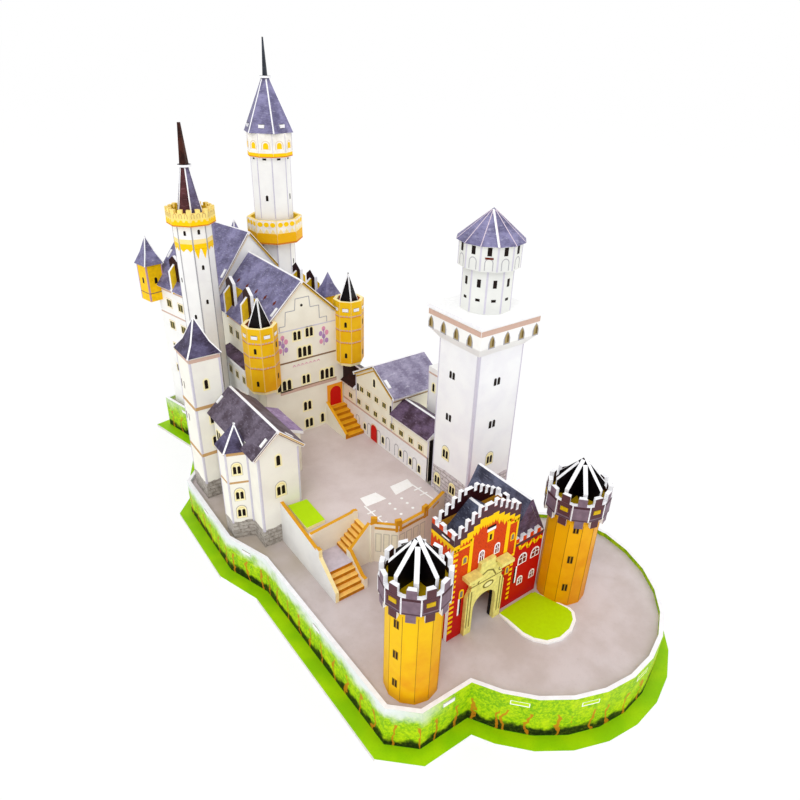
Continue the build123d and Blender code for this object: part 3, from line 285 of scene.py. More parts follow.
# each finish: its maker and what it takes, colours as red, green and blue
finishTable = {
    "foam_white": (foamEdge, (246, 246, 249)),
    "foam_cream": (foamEdge, (253, 236, 176)),
    "rail_ochre": (foamEdge, (220, 158, 36)),
    "gallery_edge": (foamEdge, (250, 220, 130)),
    "wall_pale": (plainWall, (244, 244, 241), (237, 236, 235)),
    "wall_grey": (plainWall, (228, 227, 223), (220, 219, 216)),
    "wall_hall": (plainWall, (242, 238, 222), (234, 229, 212)),
    "wall_lookout": (plainWall, (228, 229, 224), (220, 221, 218)),
    "cream_wall": (plainWall, (243, 239, 220), (236, 230, 210)),
    "wall_footed": (plainWall, (243, 241, 230), (236, 233, 224), 35.0, (190, 184, 176), (150, 144, 136)),
    "wall_tower": (plainWall, (244, 245, 246), (237, 237, 241), 62.0, (214, 208, 210), (188, 180, 186)),
    "slate_blue": (slateRoof, (138, 134, 172), (96, 92, 124), (188, 186, 208)),
    "slate_grey": (slateRoof, (98, 104, 128), (54, 56, 72), (150, 154, 176)),
    "slate_brown": (slateRoof, (104, 84, 110), (62, 44, 58), (146, 126, 150)),
    "slate_bower": (slateRoof, (112, 102, 118), (74, 62, 74), (156, 146, 168)),
    "slate_dark": (slateRoof, (92, 86, 116), (54, 46, 66), (132, 126, 160)),
    "slate_lilac": (slateRoof, (176, 156, 196), (136, 112, 156), (220, 208, 232)),
    "slate_pale": (slateRoof, (160, 154, 178), (116, 108, 134), (204, 200, 216)),
    "slate_spire": (slateRoof, (118, 112, 142), (76, 66, 92), (166, 160, 188)),
    "spire_brown": (slateRoof, (92, 52, 54), (54, 26, 30), (136, 100, 108)),
    "tip_grey": (slateRoof, (72, 78, 88), (44, 48, 56), (104, 112, 122)),
    "tip_brown": (slateRoof, (76, 38, 28), (38, 16, 12), (112, 68, 50)),
    "hedge": (foliage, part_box("skirt_front")[1].z / mm),
    "turf": (grass, (166, 212, 0), (142, 198, 0)),
    "lawn_turf": (grass, (186, 226, 0), (176, 216, 0)),
    "ground": (deckPrint, (206, 196, 196), (192, 180, 177)),
    "court_ground": (deckPrint, (219, 207, 206), (208, 194, 192)),
    "brick_gate": (brick, (192, 6, 6), (216, 66, 4), (130, 16, 6), True, (140, 20, 6)),
    "brick_red": (brick, (200, 8, 8), (172, 4, 10), (110, 0, 6), False, (110, 0, 6)),
    "gate_inside": (insideWall,),
    # these yellow tower walls carry painted shade on the facets away from the light, from shadedTube
    "tower_left_yellow": (shadedTube, (236, 190, 0), (222, 146, 0), 23.0, 82.0),
    "tower_right_yellow": (shadedTube, (236, 172, 0), (216, 132, 0), 23.0, 82.0),
    "turret_yellow": (shadedTube, (240, 192, 20), (224, 158, 14), 80.0, 128.0),
    "turret_inner": (printedInk, (226, 110, 30), 0.1, 3.0),
    "card_back": (printedInk, (226, 222, 216)),
    "plate_white": (printedInk, (250, 250, 250), 0.02),
    "roof_black": (printedInk, (52, 22, 20), 0.2, 3.0),
    "maroon": (printedInk, (64, 22, 26), 0.2, 3.0),
    "purple_grey": (printedInk, (126, 104, 118), 0.1, 3.0),
    "black_print": (printedInk, (14, 8, 10), 0.3, 3.0, 0.4),
    "yellow_print": (printedInk, (250, 200, 8), 0.05, 2.5),
    "amber_print": (printedInk, (255, 208, 40), 0.06, 2.5),
    "olive_yellow": (printedInk, (206, 168, 10), 0.08, 3.0),
    "pinnacle_dark": (printedInk, (50, 22, 22), 0.2, 3.0),
    "portal_cream": (printedInk, (236, 226, 130), 0.08, 2.0),
    "tread": (printedInk, (248, 200, 104), 0.05, 3.0),
    "hall_tread": (printedInk, (232, 168, 30), 0.05, 3.0),
    "riser": (printedInk, (194, 124, 18), 0.08, 3.0),
    "landing": (printedInk, (206, 196, 206), 0.05, 3.0),
    "gallery_tall": (printedInk, (246, 238, 226), 0.05, 3.0),
    "gallery_slim": (printedInk, (250, 226, 132), 0.06, 3.0),
    "collar": (printedInk, (248, 244, 236), 0.04, 3.0),
}
finishes = {}
for name, (maker, *values) in finishTable.items():
    values = [ink(*value) if isinstance(value, tuple) else value for value in values]
    finishes[name] = maker(name, *values).material
print("finishes made")

# the inks of the small printed marks; the black glass ink also paints the shadow on the range's front end
palette = {
    "windowBlack": (26, 16, 12),
    "windowBrown": (62, 46, 30),
    "windowOlive": (84, 76, 34),
    "glass": (20, 12, 10),
    "frame": (250, 240, 190),
    "frameCream": (252, 246, 214),
    "frameLine": (228, 206, 120),
    "tab": (250, 250, 252),
    "chalk": (255, 255, 253),
    "lawnGreen": (182, 220, 0),
    "markGreen": (186, 222, 30),
    "lilac": (206, 202, 216),
    "lineGrey": (168, 166, 172),
    "shadeGrey": (128, 118, 108),
    "stoneLine": (202, 198, 180),
    "panel": (236, 232, 206),
    "ochre": (206, 150, 52),
    "tan": (196, 156, 104),
    "tanPink": (206, 174, 158),
    "tanLight": (226, 206, 176),
    "brown": (134, 104, 76),
    "gold": (206, 164, 62),
    "gateYellow": (255, 205, 0),
    "amberBand": (242, 180, 8),
    "creamOrange": (252, 226, 150),
    "parapet": (84, 54, 62),
    "parapetInner": (30, 16, 16),
    "brickDeep": (190, 6, 6),
    "brickDark": (120, 26, 10),
    "plaster": (240, 239, 240),
    "foldOlive": (166, 120, 10),
    "foldPale": (250, 226, 150),
    "foldGold": (242, 206, 110),
    "pinkGrey": (206, 176, 160),
    "orangeLine": (214, 128, 30),
    "orangeFrame": (240, 158, 40),
    "crownDark": (74, 44, 52),
    "crownLine": (84, 60, 70),
    "crossDark": (88, 54, 60),
    "darkRed": (206, 22, 14),
    "slotRed": (104, 36, 22),
    "rose": (222, 150, 178),
    "mauve": (176, 140, 190),
    "palePink": (230, 214, 226),
    "niche": (162, 142, 92),
    "nicheShade": (106, 86, 40),
    "medal": (132, 122, 58),
    "portalLight": (244, 236, 164),
}


def cardFaces(obj):
    # the flat faces of a card piece, each with its width: a cut edge is as narrow as the card
    mesh = obj.data
    root = list(range(len(mesh.vertices)))

    def find(i):
        while root[i] != i:
            root[i] = root[root[i]]
            i = root[i]
        return i

    for p in mesh.polygons:
        for v in p.vertices:
            root[find(v)] = find(p.vertices[0])
    faces = {}
    for p in mesh.polygons:
        faces.setdefault(find(p.vertices[0]), []).append(p)
    found = []
    for polygons in faces.values():
        edges = {}
        area = 0.0
        normal = Vector()
        for p in polygons:
            area += p.area
            normal += p.normal * p.area
            for key in p.edge_keys:
                edges[key] = edges.get(key, 0) + 1
        rim = [key for key, count in edges.items() if count == 1]
        length = sum((mesh.vertices[a].co - mesh.vertices[b].co).length for a, b in rim)
        points = [mesh.vertices[v].co for p in polygons for v in p.vertices]
        found.append({
            "polygons": polygons,
            "normal": normal.normalized() if normal.length else Vector((0, 0, 1)),
            "width": 2 * area / length / mm if length else 99.0,
            "area": area / mm / mm,
            "middle": sum(points, Vector()) / len(points) / mm - planShift,
            "low": min(c.z for c in points) / mm,
            "high": max(c.z for c in points) / mm,
        })
    return found


def dress(names, rule, *looks, edge="foam_white", narrow=2.25, cut=None):
    # gives each face its finish: cut edges take edge or what cut says, the rest what rule says
    for name in names.split():
        obj = nodes[name]
        obj.data.materials.clear()
        for look in (edge, *looks):
            obj.data.materials.append(finishes[look])
        for face in cardFaces(obj):
            if face["width"] < narrow:
                index = int(cut(face)) if cut else 0
            else:
                index = 1 + (int(rule(face)) if rule else 0)
            for p in face["polygons"]:
                p.material_index = index


def arc(a, b, wide, high, start, end, steps):
    # points along an oval, from one angle to another
    turn = [start + (end - start) * i / steps for i in range(steps + 1)]
    return [(a + wide * math.cos(t), b + high * math.sin(t)) for t in turn]


class Prints:
    # shapes printed on flat card faces, each a closed slab thinner than paper
    def __init__(self, name, slot):
        self.name = name
        self.slot = slot
        self.inks = []
        self.mesh = bmesh.new()

    def on(self, origin, along, out, up=(0, 0, 1), deep=0.04):
        # the face to print on: an origin in plan millimetres and its directions
        self.origin, self.along, self.out, self.up = (Vector(v) for v in (origin, along, out, up))
        self.deep = deep
        return self

    def side(self, x, out=-1):
        return self.on((x, 0, 0), (0, 1, 0), (out, 0, 0))

    def front(self, y, out=-1):
        return self.on((0, y, 0), (1, 0, 0), (0, out, 0))

    def level(self, z, deep=0.04):
        return self.on((0, 0, z), (1, 0, 0), (0, 0, 1), (0, 1, 0), deep)

    def facet(self, place, sides, radius, turn, k, foot=0.0, apex=None):
        # face k of an upright tube, or of a cone that runs from foot to apex
        angle = math.radians(turn + 360 * (k + 0.5) / sides)
        outward = Vector((math.cos(angle), math.sin(angle), 0))
        along = Vector((-math.sin(angle), math.cos(angle), 0))
        reach = radius * math.cos(math.pi / sides)
        up = Vector((0, 0, 1))
        if apex is not None:
            up = (Vector((0, 0, apex - foot)) - outward * reach).normalized()
        origin = Vector((place[0], place[1], foot)) + outward * reach
        self.half = radius * math.sin(math.pi / sides)
        return self.on(origin, along, along.cross(up), up)

    def facets(self, place, sides, radius, turn=22.5):
        # each face of an upright tube in turn, with its half width
        for k in range(sides):
            yield k, self.facet(place, sides, radius, turn, k).half

    def draw(self, marks):
        # the marks of one face: rows of measures for each kind of mark
        for kind, rows in marks.items():
            for row in rows:
                getattr(self, kind)(*row)

    def shape(self, ink, points, lift=0):
        flat = [self.origin + self.along * a + self.up * b for a, b in points]
        low = [self.mesh.verts.new(plan(*(p - self.out * self.deep))) for p in flat]
        top = [self.mesh.verts.new(plan(*(p + self.out * (0.08 + 0.05 * lift)))) for p in flat]
        faces = [self.mesh.faces.new(top), self.mesh.faces.new(low[::-1])]
        for i in range(len(flat)):
            faces.append(self.mesh.faces.new((low[i - 1], low[i], top[i], top[i - 1])))
        if ink not in self.inks:
            self.inks.append(ink)
        for face in faces:
            face.material_index = self.inks.index(ink)

    def rect(self, ink, a, b, wide, high, lift=0):
        self.shape(ink, [(a - wide / 2, b - high / 2), (a + wide / 2, b - high / 2),
                         (a + wide / 2, b + high / 2), (a - wide / 2, b + high / 2)], lift)

    def band(self, ink, a0, a1, b0, b1, lift=0):
        self.rect(ink, (a0 + a1) / 2, (b0 + b1) / 2, abs(a1 - a0), abs(b1 - b0), lift)

    def belt(self, ink, b0, b1, lift=0, inset=0.05):
        # a band across a whole facet
        self.band(ink, inset - self.half, self.half - inset, b0, b1, lift)

    def edges(self, ink, a0, a1, wide, b0, b1, lift=0, inset=0.1):
        # a band along each upright edge of a face that runs from a0 to a1
        self.band(ink, a0 + inset, a0 + wide, b0, b1, lift)
        self.band(ink, a1 - wide, a1 - inset, b0, b1, lift)

    def arch(self, ink, a, b, wide, high, lift=0):
        half = wide / 2
        head = arc(a, b + high / 2 - half, half, half, 0, math.pi, 6)
        self.shape(ink, [(a - half, b - high / 2), (a + half, b - high / 2)] + head, lift)

    def pointed(self, ink, a, b, wide, high, lift=0):
        half = wide / 2
        foot, top = b - high / 2, b + high / 2
        neck, brow = top - wide * 0.9, top - wide * 0.35
        self.shape(ink, [(a - half, foot), (a + half, foot), (a + half, neck), (a + half * 0.6, brow),
                         (a, top), (a - half * 0.6, brow), (a - half, neck)], lift)

    def disc(self, ink, a, b, wide, high, lift=0):
        self.shape(ink, arc(a, b, wide / 2, high / 2, 0, 2 * math.pi, 10)[:-1], lift)

    def line(self, ink, points, wide, lift=0):
        for (a0, b0), (a1, b1) in zip(points, points[1:]):
            length = math.hypot(a1 - a0, b1 - b0)
            da, db = (b0 - b1) / length * wide / 2, (a1 - a0) / length * wide / 2
            corners = [(a0 + da, b0 + db), (a0 - da, b0 - db), (a1 - da, b1 - db), (a1 + da, b1 + db)]
            self.shape(ink, corners, lift)

    def strip(self, ink, start, end, out, wide, toward, base=0.0, lift=1):
        # a strip beside a line in space, on the face that looks out, on the side of toward
        start, end, out, toward = (Vector(v) for v in (start, end, out, toward))
        along = (end - start).normalized()
        up = out.normalized().cross(along)
        if up.dot(toward - start) < 0:
            up = -up
        self.on(start, along, out.normalized(), up)
        self.band(ink, 0, (end - start).length, base, base + wide, lift)

    def hips(self, ink, centre, east, north, half, levels, wide):
        # the white fold edges of a roof in two tiers, whose rims are given as reaches and a height
        centre, east, north = Vector(centre), Vector(east), Vector(north)
        wideRim = [reach + levels["lip"] for reach in half]
        midRim = [reach * levels["shrink"] for reach in half]
        rims = [(*wideRim, levels["z0"]), (*midRim, levels["zBreak"]), (0.2, 0.2, levels["z1"])]
        for (ax, ay, az), (bx, by, bz) in zip(rims, rims[1:]):
            for sx in (-1, 1):
                for sy in (-1, 1):
                    foot = centre + east * sx * ax + north * sy * ay + Vector((0, 0, az))
                    top = centre + east * sx * bx + north * sy * by + Vector((0, 0, bz))
                    middle = centre + Vector((0, 0, (az + bz) / 2))
                    for face, run, sign in ((north, ay - by, sy), (east, ax - bx, sx)):
                        out = face * sign * (bz - az) + Vector((0, 0, run))
                        self.strip(ink, foot, top, out, wide, middle + face * sign * ax)

    def bay(self, a, b, high, glass="windowBlack", lift=0):
        # two lights under one wide arch, outlined
        wide = high * 0.66
        self.arch("lineGrey", a, b + 0.15, wide + 0.5, high + 0.5, lift)
        self.arch("frame", a, b, wide, high, lift + 1)
        self.hoop("frameLine", a, b - 0.2, wide * 0.74, high * 0.8, 0.25, lift + 2)
        for side in (-1, 1):
            self.arch(glass, a + side * high * 0.14, b - high * 0.07, high * 0.2, high * 0.56, lift + 3)

    def pane(self, a, b, wide, high, glass="windowOlive", lift=0):
        # a square light in a pale frame with a tan outline
        self.rect("tanLight", a, b, wide + 1.9, high + 1.9, lift)
        self.rect("frameCream", a, b, wide + 1.2, high + 1.2, lift + 1)
        self.rect(glass, a, b, wide, high, lift + 2)
        self.rect("frameLine", a, b, 0.3, high, lift + 3)

    def whiteWindow(self, a, b, wide, high, lift=1):
        # an arched light with a white outline and bars
        self.arch("tab", a, b, wide, high, lift)
        self.arch("brickDark", a, b - 0.1, wide - 1.3, high - 1.5, lift + 1)
        self.rect("tab", a, b - 0.3, 0.45, high - 1.6, lift + 2)
        self.rect("tab", a, b + 0.2, wide - 1.3, 0.4, lift + 2)

    def hoop(self, ink, a, b, wide, high, thick, lift=0):
        # the outline of an arch
        half = wide / 2
        spring, foot = b + high / 2 - half, b - high / 2
        outer = arc(a, spring, half, half, 0, math.pi, 6)
        inner = arc(a, spring, half - thick, half - thick, 0, math.pi, 6)
        outline = [(a + half, foot)] + outer + [(a - half, foot), (a - half + thick, foot)]
        self.shape(ink, outline + inner[::-1] + [(a + half - thick, foot)], lift)

    def window(self, a, b, high, count=1, framed=True, glass="windowBlack", wide=0.36):
        # arched lights side by side, in one frame that follows their heads
        light = high * wide
        step = light * 1.42
        margin = high * 0.17
        start = a - step * (count - 1) / 2
        if framed:
            half = light / 2 + margin
            spring, foot = b + high / 2 - light / 2, b - high / 2 - margin
            cut = math.acos(min(1.0, step / 2 / half)) if count > 1 else 0.0
            outline = [(start - half, foot), (start + step * (count - 1) + half, foot)]
            for i in reversed(range(count)):
                low = 0.0 if i == count - 1 else cut
                end = math.pi if i == 0 else math.pi - cut
                outline += arc(start + step * i, spring, half, half, low, end, 6)
            self.shape("frame", outline)
        for i in range(count):
            self.arch(glass, start + step * i, b, light, high, 1)

    def folds(self, place, sides, radius, turn, foot, top, ink, wide=0.35):
        # the creases of a folded tube: a thin line on each side of every corner
        for k, half in self.facets(place, sides, radius, turn):
            for end in (-1, 1):
                a = end * (half - wide / 2 - 0.02)
                self.rect(ink, a, (foot + top) / 2, wide, top - foot, 1)

    def ridges(self, place, sides, radius, turn, foot, apex, top, ink, wide):
        # the cut edges of a folded cone: a strip on each side of every fold
        length = math.hypot(radius * math.cos(math.pi / sides), apex - foot)
        share = (top - foot) / (apex - foot)
        for k in range(sides):
            self.facet(place, sides, radius, turn, k, foot, apex)
            for end in (-1, 1):
                low = end * (self.half - 0.03)
                high = low * (1 - share)
                inner = end * wide
                self.shape(ink, [(low, 0.05), (high, length * share), (high - inner, length * share),
                                 (low - inner, 0.05)], 1)

    def done(self):
        bmesh.ops.recalc_face_normals(self.mesh, faces=self.mesh.faces)
        data = bpy.data.meshes.new(self.name)
        self.mesh.to_mesh(data)
        self.mesh.free()
        for name in self.inks:
            if name not in finishes:
                finishes[name] = printedInk("ink_" + name, ink(*palette[name]), 0.02).material
            data.materials.append(finishes[name])
        obj = bpy.data.objects.new(self.name, data)
        bpy.context.scene.collection.objects.link(obj)
        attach(obj, "root")


def outwards(face, place):
    # above 0 for a face on the outside of a tube, below 0 for one on its inside
    away = face["middle"] - Vector((*place, 0))
    return face["normal"].x * away.x + face["normal"].y * away.y


def tubeRule(place):
    # the outside of a ring first, its inside second
    return lambda face: outwards(face, place) <= 0


def roofRule(face):
    # slate on the upper side of a roof, bare card under it
    return face["normal"].z <= 0.1


def deckRule(face):
    # print on the upper side of a board, bare card under it
    return face["normal"].z <= 0.5


# Base and court
court = {
    "floor": 45.0,
    "marks": [
        [(-19.0, -19.6), (-8.9, -20.1), (-7.1, -28.1), (-20.1, -27.8)],
        [(1.0, -20.2), (13.6, -19.9), (12.7, -26.9), (-0.8, -28.4)],
    ],
    "lines": [((-20.8, -26.7), (-20.4, -47.0), (-33.4, -39.0, -44.3)),
              ((12.6, -25.5), (14.2, -43.0), (-30.9, -36.4))],
    "dots": [(0.1, -32.7), (0.1, -37.8), (0.1, -42.9), (-8.1, -32.8), (-8.4, -38.2), (-8.3, -43.5)],
    "rampart": [(-27.3, -46.0), (-18.0, -54.6), (1.2, -53.2)],
    "panels": {"every": 4.6, "z": 36.6, "high": 12.4, "rail": (45.4, 47.0)},
    "lawn": [(1.6, -111.3), (1.1, -115.4), (1.1, -119.3), (1.3, -126.8), (3.2, -132.3), (7.5, -137.3),
             (14.7, -139.7), (22.9, -138.8), (29.2, -135.8), (32.4, -132.1), (32.9, -129.1), (26.3, -111.6)],
    "lawnTop": 24.44,
    "lawnMiddle": (17.0, -123.0),
    "railFoot": 43.0,
    "landingArea": 90.0,
    "riserHigh": 5.5,
}


def railCut(face):
    # the rail's upper edges are ochre, the other cut edges stay pale
    return 0 if face["normal"].z > 0.3 or face["low"] > court["railFoot"] else 1


def stairRule(face):
    # treads, risers, the landing and the printed side walls
    if face["normal"].z > 0.5:
        return 3 if face["area"] > court["landingArea"] else 0
    if face["normal"].z < -0.5:
        return 2
    return 2 if face["high"] - face["low"] > court["riserHigh"] else 1


dress("base_board", deckRule, "turf", "card_back", narrow=1.9)
dress("skirt_front skirt_left skirt_right skirt_back", None, "hedge")
dress("lower_deck", deckRule, "ground", "card_back")
# the court's ground is a paler copy of the deck's ground, with painted light added against the shade of the
# walls round it
dress("upper_deck", deckRule, "court_ground", "card_back")
dress("lawns", None, "lawn_turf", edge="foam_cream")
# the left court wall takes a greyer copy of the pale wall: painted shade
dress("court_wall_left", None, "wall_grey", "rail_ochre", edge="foam_cream",
      cut=lambda face: 2 * (face["normal"].z > 0.95))
dress("court_wall_back", None, "wall_pale", edge="foam_cream")
dress("court_rampart", None, "cream_wall", edge="rail_ochre", cut=railCut)
dress("stair_walls", None, "cream_wall", edge="rail_ochre", cut=roofRule)
for stair, look in (("court_stair", "tread"), ("hall_stair", "hall_tread")):
    dress(stair, stairRule, look, "riser", "cream_wall", "landing", edge="foam_cream", narrow=1.2)


def courtPrints(c):
    prints = Prints("court_prints", "court_stone").level(c["floor"])
    for mark in c["marks"]:
        prints.shape("chalk", mark)
    for start, end, ticks in c["lines"]:
        prints.line("chalk", [start, end], 0.8, 1)
        for b in ticks:
            prints.line("chalk", [(start[0] - 2.4, b), (start[0] + 2.8, b)], 0.8, 2)
    for a, b in c["dots"]:
        prints.disc("chalk", a, b, 1.7, 1.7)
    p = c["panels"]
    for (x0, y0), (x1, y1) in zip(c["rampart"], c["rampart"][1:]):
        along = Vector((x1 - x0, y1 - y0, 0))
        length = along.length
        prints.on((x0, y0, 0), along / length, Vector((along.y, -along.x, 0)) / length)
        count = max(1, round(length / p["every"]))
        for k in range(count):
            a = length * (k + 0.5) / count
            prints.rect("stoneLine", a, p["z"], length / count - 0.9, p["high"])
            prints.rect("panel", a, p["z"], length / count - 1.9, p["high"] - 1.2, 1)
        prints.band("ochre", 0.1, length - 0.1, *p["rail"])
    # the lawn's pale rim has some height of its own
    prints.level(c["lawnTop"], 1.05).shape("chalk", c["lawn"])
    middle = Vector(c["lawnMiddle"])
    inner = []
    for a, b in c["lawn"]:
        away = Vector((a, b)) - middle
        inner.append(tuple(middle + away * (1 - 1.5 / away.length)) if b < -112 else (a, b))
    prints.level(c["lawnTop"]).shape("lawnGreen", inner, 1)
    prints.done()


courtPrints(court)

skirt = {"middle": (25.6, -104.9), "from": -140.0, "to": -15.0, "mark": (7.6, 1.7), "z": 21.4}


def skirtPrints(s):
    # the tab marks on every second facet of the round front
    prints = Prints("skirt_prints", "skirt_print")
    facets = []
    for face in cardFaces(nodes["skirt_front"]):
        away = face["middle"].xy - Vector(s["middle"])
        angle = math.degrees(math.atan2(away.y, away.x))
        if face["width"] > 3 and outwards(face, s["middle"]) > 40 and s["from"] < angle < s["to"]:
            facets.append((angle, face))
    facets.sort(key=lambda pair: pair[0])
    wide, high = s["mark"]
    for angle, face in facets[::2]:
        place, out = face["middle"], face["normal"]
        prints.on((place.x, place.y, s["z"]), (-out.y, out.x, 0), out)
        prints.rect("tab", 0, 0, wide + 0.8, high + 0.8)
        prints.rect("markGreen", 0, 0.2, wide, high, 1)
    prints.done()


skirtPrints(skirt)

# Gatehouse and its towers
gatePiece = {
    "left": -30.2,
    "middle": -10.45,
    "front": -109.0,
    "shoulder": 84.0,
    "peak": 94.5,
    "flat": 2.0,
    "merlon": 2.6,
    "steps": 5,
    "shellSplit": (-20.0, -98.0),
    "archway": {"middle": -9.8, "half": 9.0, "foot": 20.0, "top": 47.0},
    "gable": [(9.4, 61.5), (18.9, 79.4), (28.4, 61.5)],
    "trim": {"dark": 3.6, "foot": (5.4, 7.4), "tooth": 1.9, "gap": 0.08, "inside": 3.4},
    "corners": {"start": 28.0, "every": 3.1, "count": 17, "edges": [(-30.1, -27.4, 76.0), (9.2, 7.2, 58.0)]},
    "teeth": {"start": -107.8, "every": 2.4, "count": 6, "z": (78.7, 76.6)},
    "unseen": [("front", -72.0, (15.0, 23.0), (54.0, 38.0), 4.4),
               ("side", 28.5, (-102.0, -90.0, -79.0), (52.0, 36.0), 4.4),
               ("front", -94.0, (-24.0, -16.0), (66.0, 50.0), 3.8)],
    "backBands": [("gateYellow", -30.0, 9.1, 77.0, 78.6), ("parapet", -30.0, 9.1, 80.6, 83.6)],
    "niches": [(-23.2, 70.0, 3.3, 4.8), (-23.4, 50.0, 2.8, 5.4), (6.2, 68.8, 2.6, 4.6),
               (5.5, 48.6, 2.6, 5.0)],
    "marks": {
        "band": [("gateYellow", -20.85, -18.95, 61.0, 80.5, 1), ("gateYellow", 1.4, 3.6, 61.0, 80.5, 1),
                 ("gateYellow", 8.2, 9.25, 58.0, 80.0, 1), ("gateYellow", -30.1, -20.8, 77.0, 78.3, 1),
                 ("gateYellow", 3.7, 8.2, 77.0, 78.3, 1), ("brickDeep", 9.3, 28.4, 26.5, 62.3),
                 ("parapet", 9.3, 28.4, 60.6, 62.2, 2)],
        "rect": [("gateYellow", -8.5, 76.3, 3.6, 5.5, 1), ("glass", -8.5, 75.8, 1.3, 3.2, 2),
                 ("tab", -8.5, 80.2, 5.2, 1.5, 2), ("glass", -8.5, 81.6, 5.0, 1.0, 2),
                 ("tab", -24.5, 42.4, 0.9, 10.6, 1), ("glass", -23.6, 42.4, 0.9, 10.2, 1),
                 ("tab", 12.2, 42.0, 0.9, 10.6, 2), ("glass", 11.3, 42.0, 0.9, 10.2, 2)],
        "line": [("gateYellow", [(9.8, 62.0), (11.7, 61.6), (13.1, 57.8), (16.8, 59.6), (18.5, 56.1),
                                 (21.2, 60.0), (23.6, 56.7), (25.9, 59.4), (28.2, 57.5)], 1.5, 1)],
        "whiteWindow": [(-13.0, 67.0, 3.5, 6.8), (-3.4, 66.8, 3.5, 6.4), (15.6, 50.8, 6.0, 6.8, 2),
                        (24.4, 50.5, 6.0, 6.2, 2), (15.9, 36.6, 3.8, 5.5, 2), (24.3, 36.5, 3.8, 5.5, 2)],
    },
    "sideMarks": {
        "band": [("parapet", -108.9, -94.0, 80.6, 83.8), ("gateYellow", -108.9, -94.0, 78.6, 80.6),
                 ("tab", -106.0, -101.0, 81.6, 82.6, 1), ("glass", -106.0, -101.0, 82.6, 83.6, 1)],
        "arch": [("gateYellow", -101.6, 66.5, 3.0, 6.4, 1), ("glass", -101.6, 66.3, 1.5, 4.4, 2)],
    },
}


def gateShellRule(face):
    # the shell's inner faces, that look back at the camera over the roof
    across, middle = face["normal"].x, face["middle"]
    x, y = gatePiece["shellSplit"]
    if (across < -0.5 and middle.x > x) or (across > 0.5 and middle.x < x):
        return 1
    return face["normal"].y < -0.5 and middle.y > y


def archCut(face):
    # painted shade: the cut edges in the archway are black, for the darkness of the passage
    a = gatePiece["archway"]
    inside = face["middle"].z < a["top"] and abs(face["middle"].x - a["middle"]) < a["half"]
    return 3 * (inside and face["low"] > a["foot"])


dress("gate_front_wall", lambda face: face["normal"].y > 0.5, "brick_gate", "gate_inside", "black_print",
      cut=archCut)
dress("gate_shell", gateShellRule, "brick_gate", "gate_inside")
dress("gate_portal", None, "portal_cream", edge="portal_cream")
dress("gate_roof", roofRule, "slate_grey", "card_back")
dress("gate_wing_walls", lambda face: face["normal"].y < -0.5 and face["high"] > 66, "brick_red",
      "slate_brown")
dress("gate_wing_roof", roofRule, "slate_grey", "card_back", "slate_brown",
      cut=lambda face: 3 * (face["normal"].y < -0.5))


def gateSteps(g):
    # the steps of the parapet on both sides: number, the three places along it, and the height of the step
    run = (g["middle"] - g["flat"] - g["left"]) / g["steps"]
    rise = (g["peak"] - g["shoulder"]) / g["steps"]
    for side in (-1, 1):
        for k in range(g["steps"] + 1):
            start = g["left"] + run * k
            ends = (start, start + run / 2, start + run)
            if k == g["steps"]:
                ends = (start, start + g["flat"] / 2, g["middle"])
            yield k, [g["middle"] + side * (g["middle"] - a) for a in ends], g["shoulder"] + rise * k


def gatePrints(g):
    prints = Prints("gate_prints", "gate_brick").front(g["front"])
    trim = g["trim"]
    for k, (start, half, end), low in gateSteps(g):
        # one step of the parapet: its merlon, its notch and the yellow trim below
        notch = low
        if k == g["steps"]:
            low, notch = g["peak"] - g["merlon"], g["peak"]
        prints.band("parapet", start, half, low - trim["dark"], low + g["merlon"] - trim["gap"])
        prints.band("parapet", half, end, low - trim["dark"], notch - trim["gap"])
        foot = low - trim["foot"][k > 1]
        prints.band("gateYellow", start, end, foot, low - trim["dark"])
        for a0, a1 in ((start, half), (half, end)):
            tip = ((a0 + a1) / 2, foot - trim["tooth"])
            prints.shape("gateYellow", [(a0, foot + 0.1), (a1, foot + 0.1), tip], 1)
    c = g["corners"]
    for k in range(c["count"]):
        # the saw-toothed corner stones
        z = c["start"] + k * c["every"]
        for a, b, top in c["edges"]:
            if z < top:
                prints.shape("gateYellow", [(a, z), (b, z + 0.3), (b, z + 1.4), (a, z + 1.9)])
    prints.draw(g["marks"])
    for a, b, wide, high in g["niches"]:
        prints.arch("gateYellow", a, b, wide, high, 2)
        prints.arch("shadeGrey", a, b - 0.1, wide * 0.55, high * 0.68, 3)
    prints.front(g["front"] + 2.1).shape("slate_brown", g["gable"])
    for facing, where, columns, rows, wide in g["unseen"]:
        getattr(prints, facing)(where, 1)
        for a in columns:
            for b in rows:
                prints.whiteWindow(a, b, wide, 6.4)
    prints.draw({"band": g["backBands"]})
    prints.side(g["left"]).draw(g["sideMarks"])
    teeth = g["teeth"]
    high, low = teeth["z"]
    for k in range(teeth["count"]):
        y = teeth["start"] + k * teeth["every"]
        prints.shape("gateYellow", [(y - 0.9, high), (y + 0.9, high), (y, low)])
    prints.on((0, g["front"] + 2.0, 0), (1, 0, 0), (0, 1, 0))
    for k, (start, half, end), low in gateSteps(g):
        if k < g["steps"]:
            # the inner side of the stepped parapet is black
            prints.band("parapetInner", start, half, low - trim["inside"], low + g["merlon"] - trim["gap"])
            prints.band("parapetInner", half, end, low - trim["inside"], low - trim["gap"])
    prints.done()


gatePrints(gatePiece)

portal = {
    "front": -111.0,
    "middle": -9.8,
    "pairs": {"rect": [("medal", 9.7, 57.0, 1.6, 2.6), ("nicheShade", 8.7, 59.4, 5.4, 2.0),
                       ("medal", 8.9, 39.0, 0.6, 22.0), ("medal", 10.6, 39.0, 0.5, 22.0)],
              "disc": [("medal", 8.2, 55.4, 2.4, 2.4, 1), ("portalLight", 8.2, 55.4, 1.3, 1.3, 2)]},
    "arch": [(-5.6, 53.1), (-3.4, 57.0), (0, 58.4), (3.4, 57.0), (5.6, 53.1)],
}


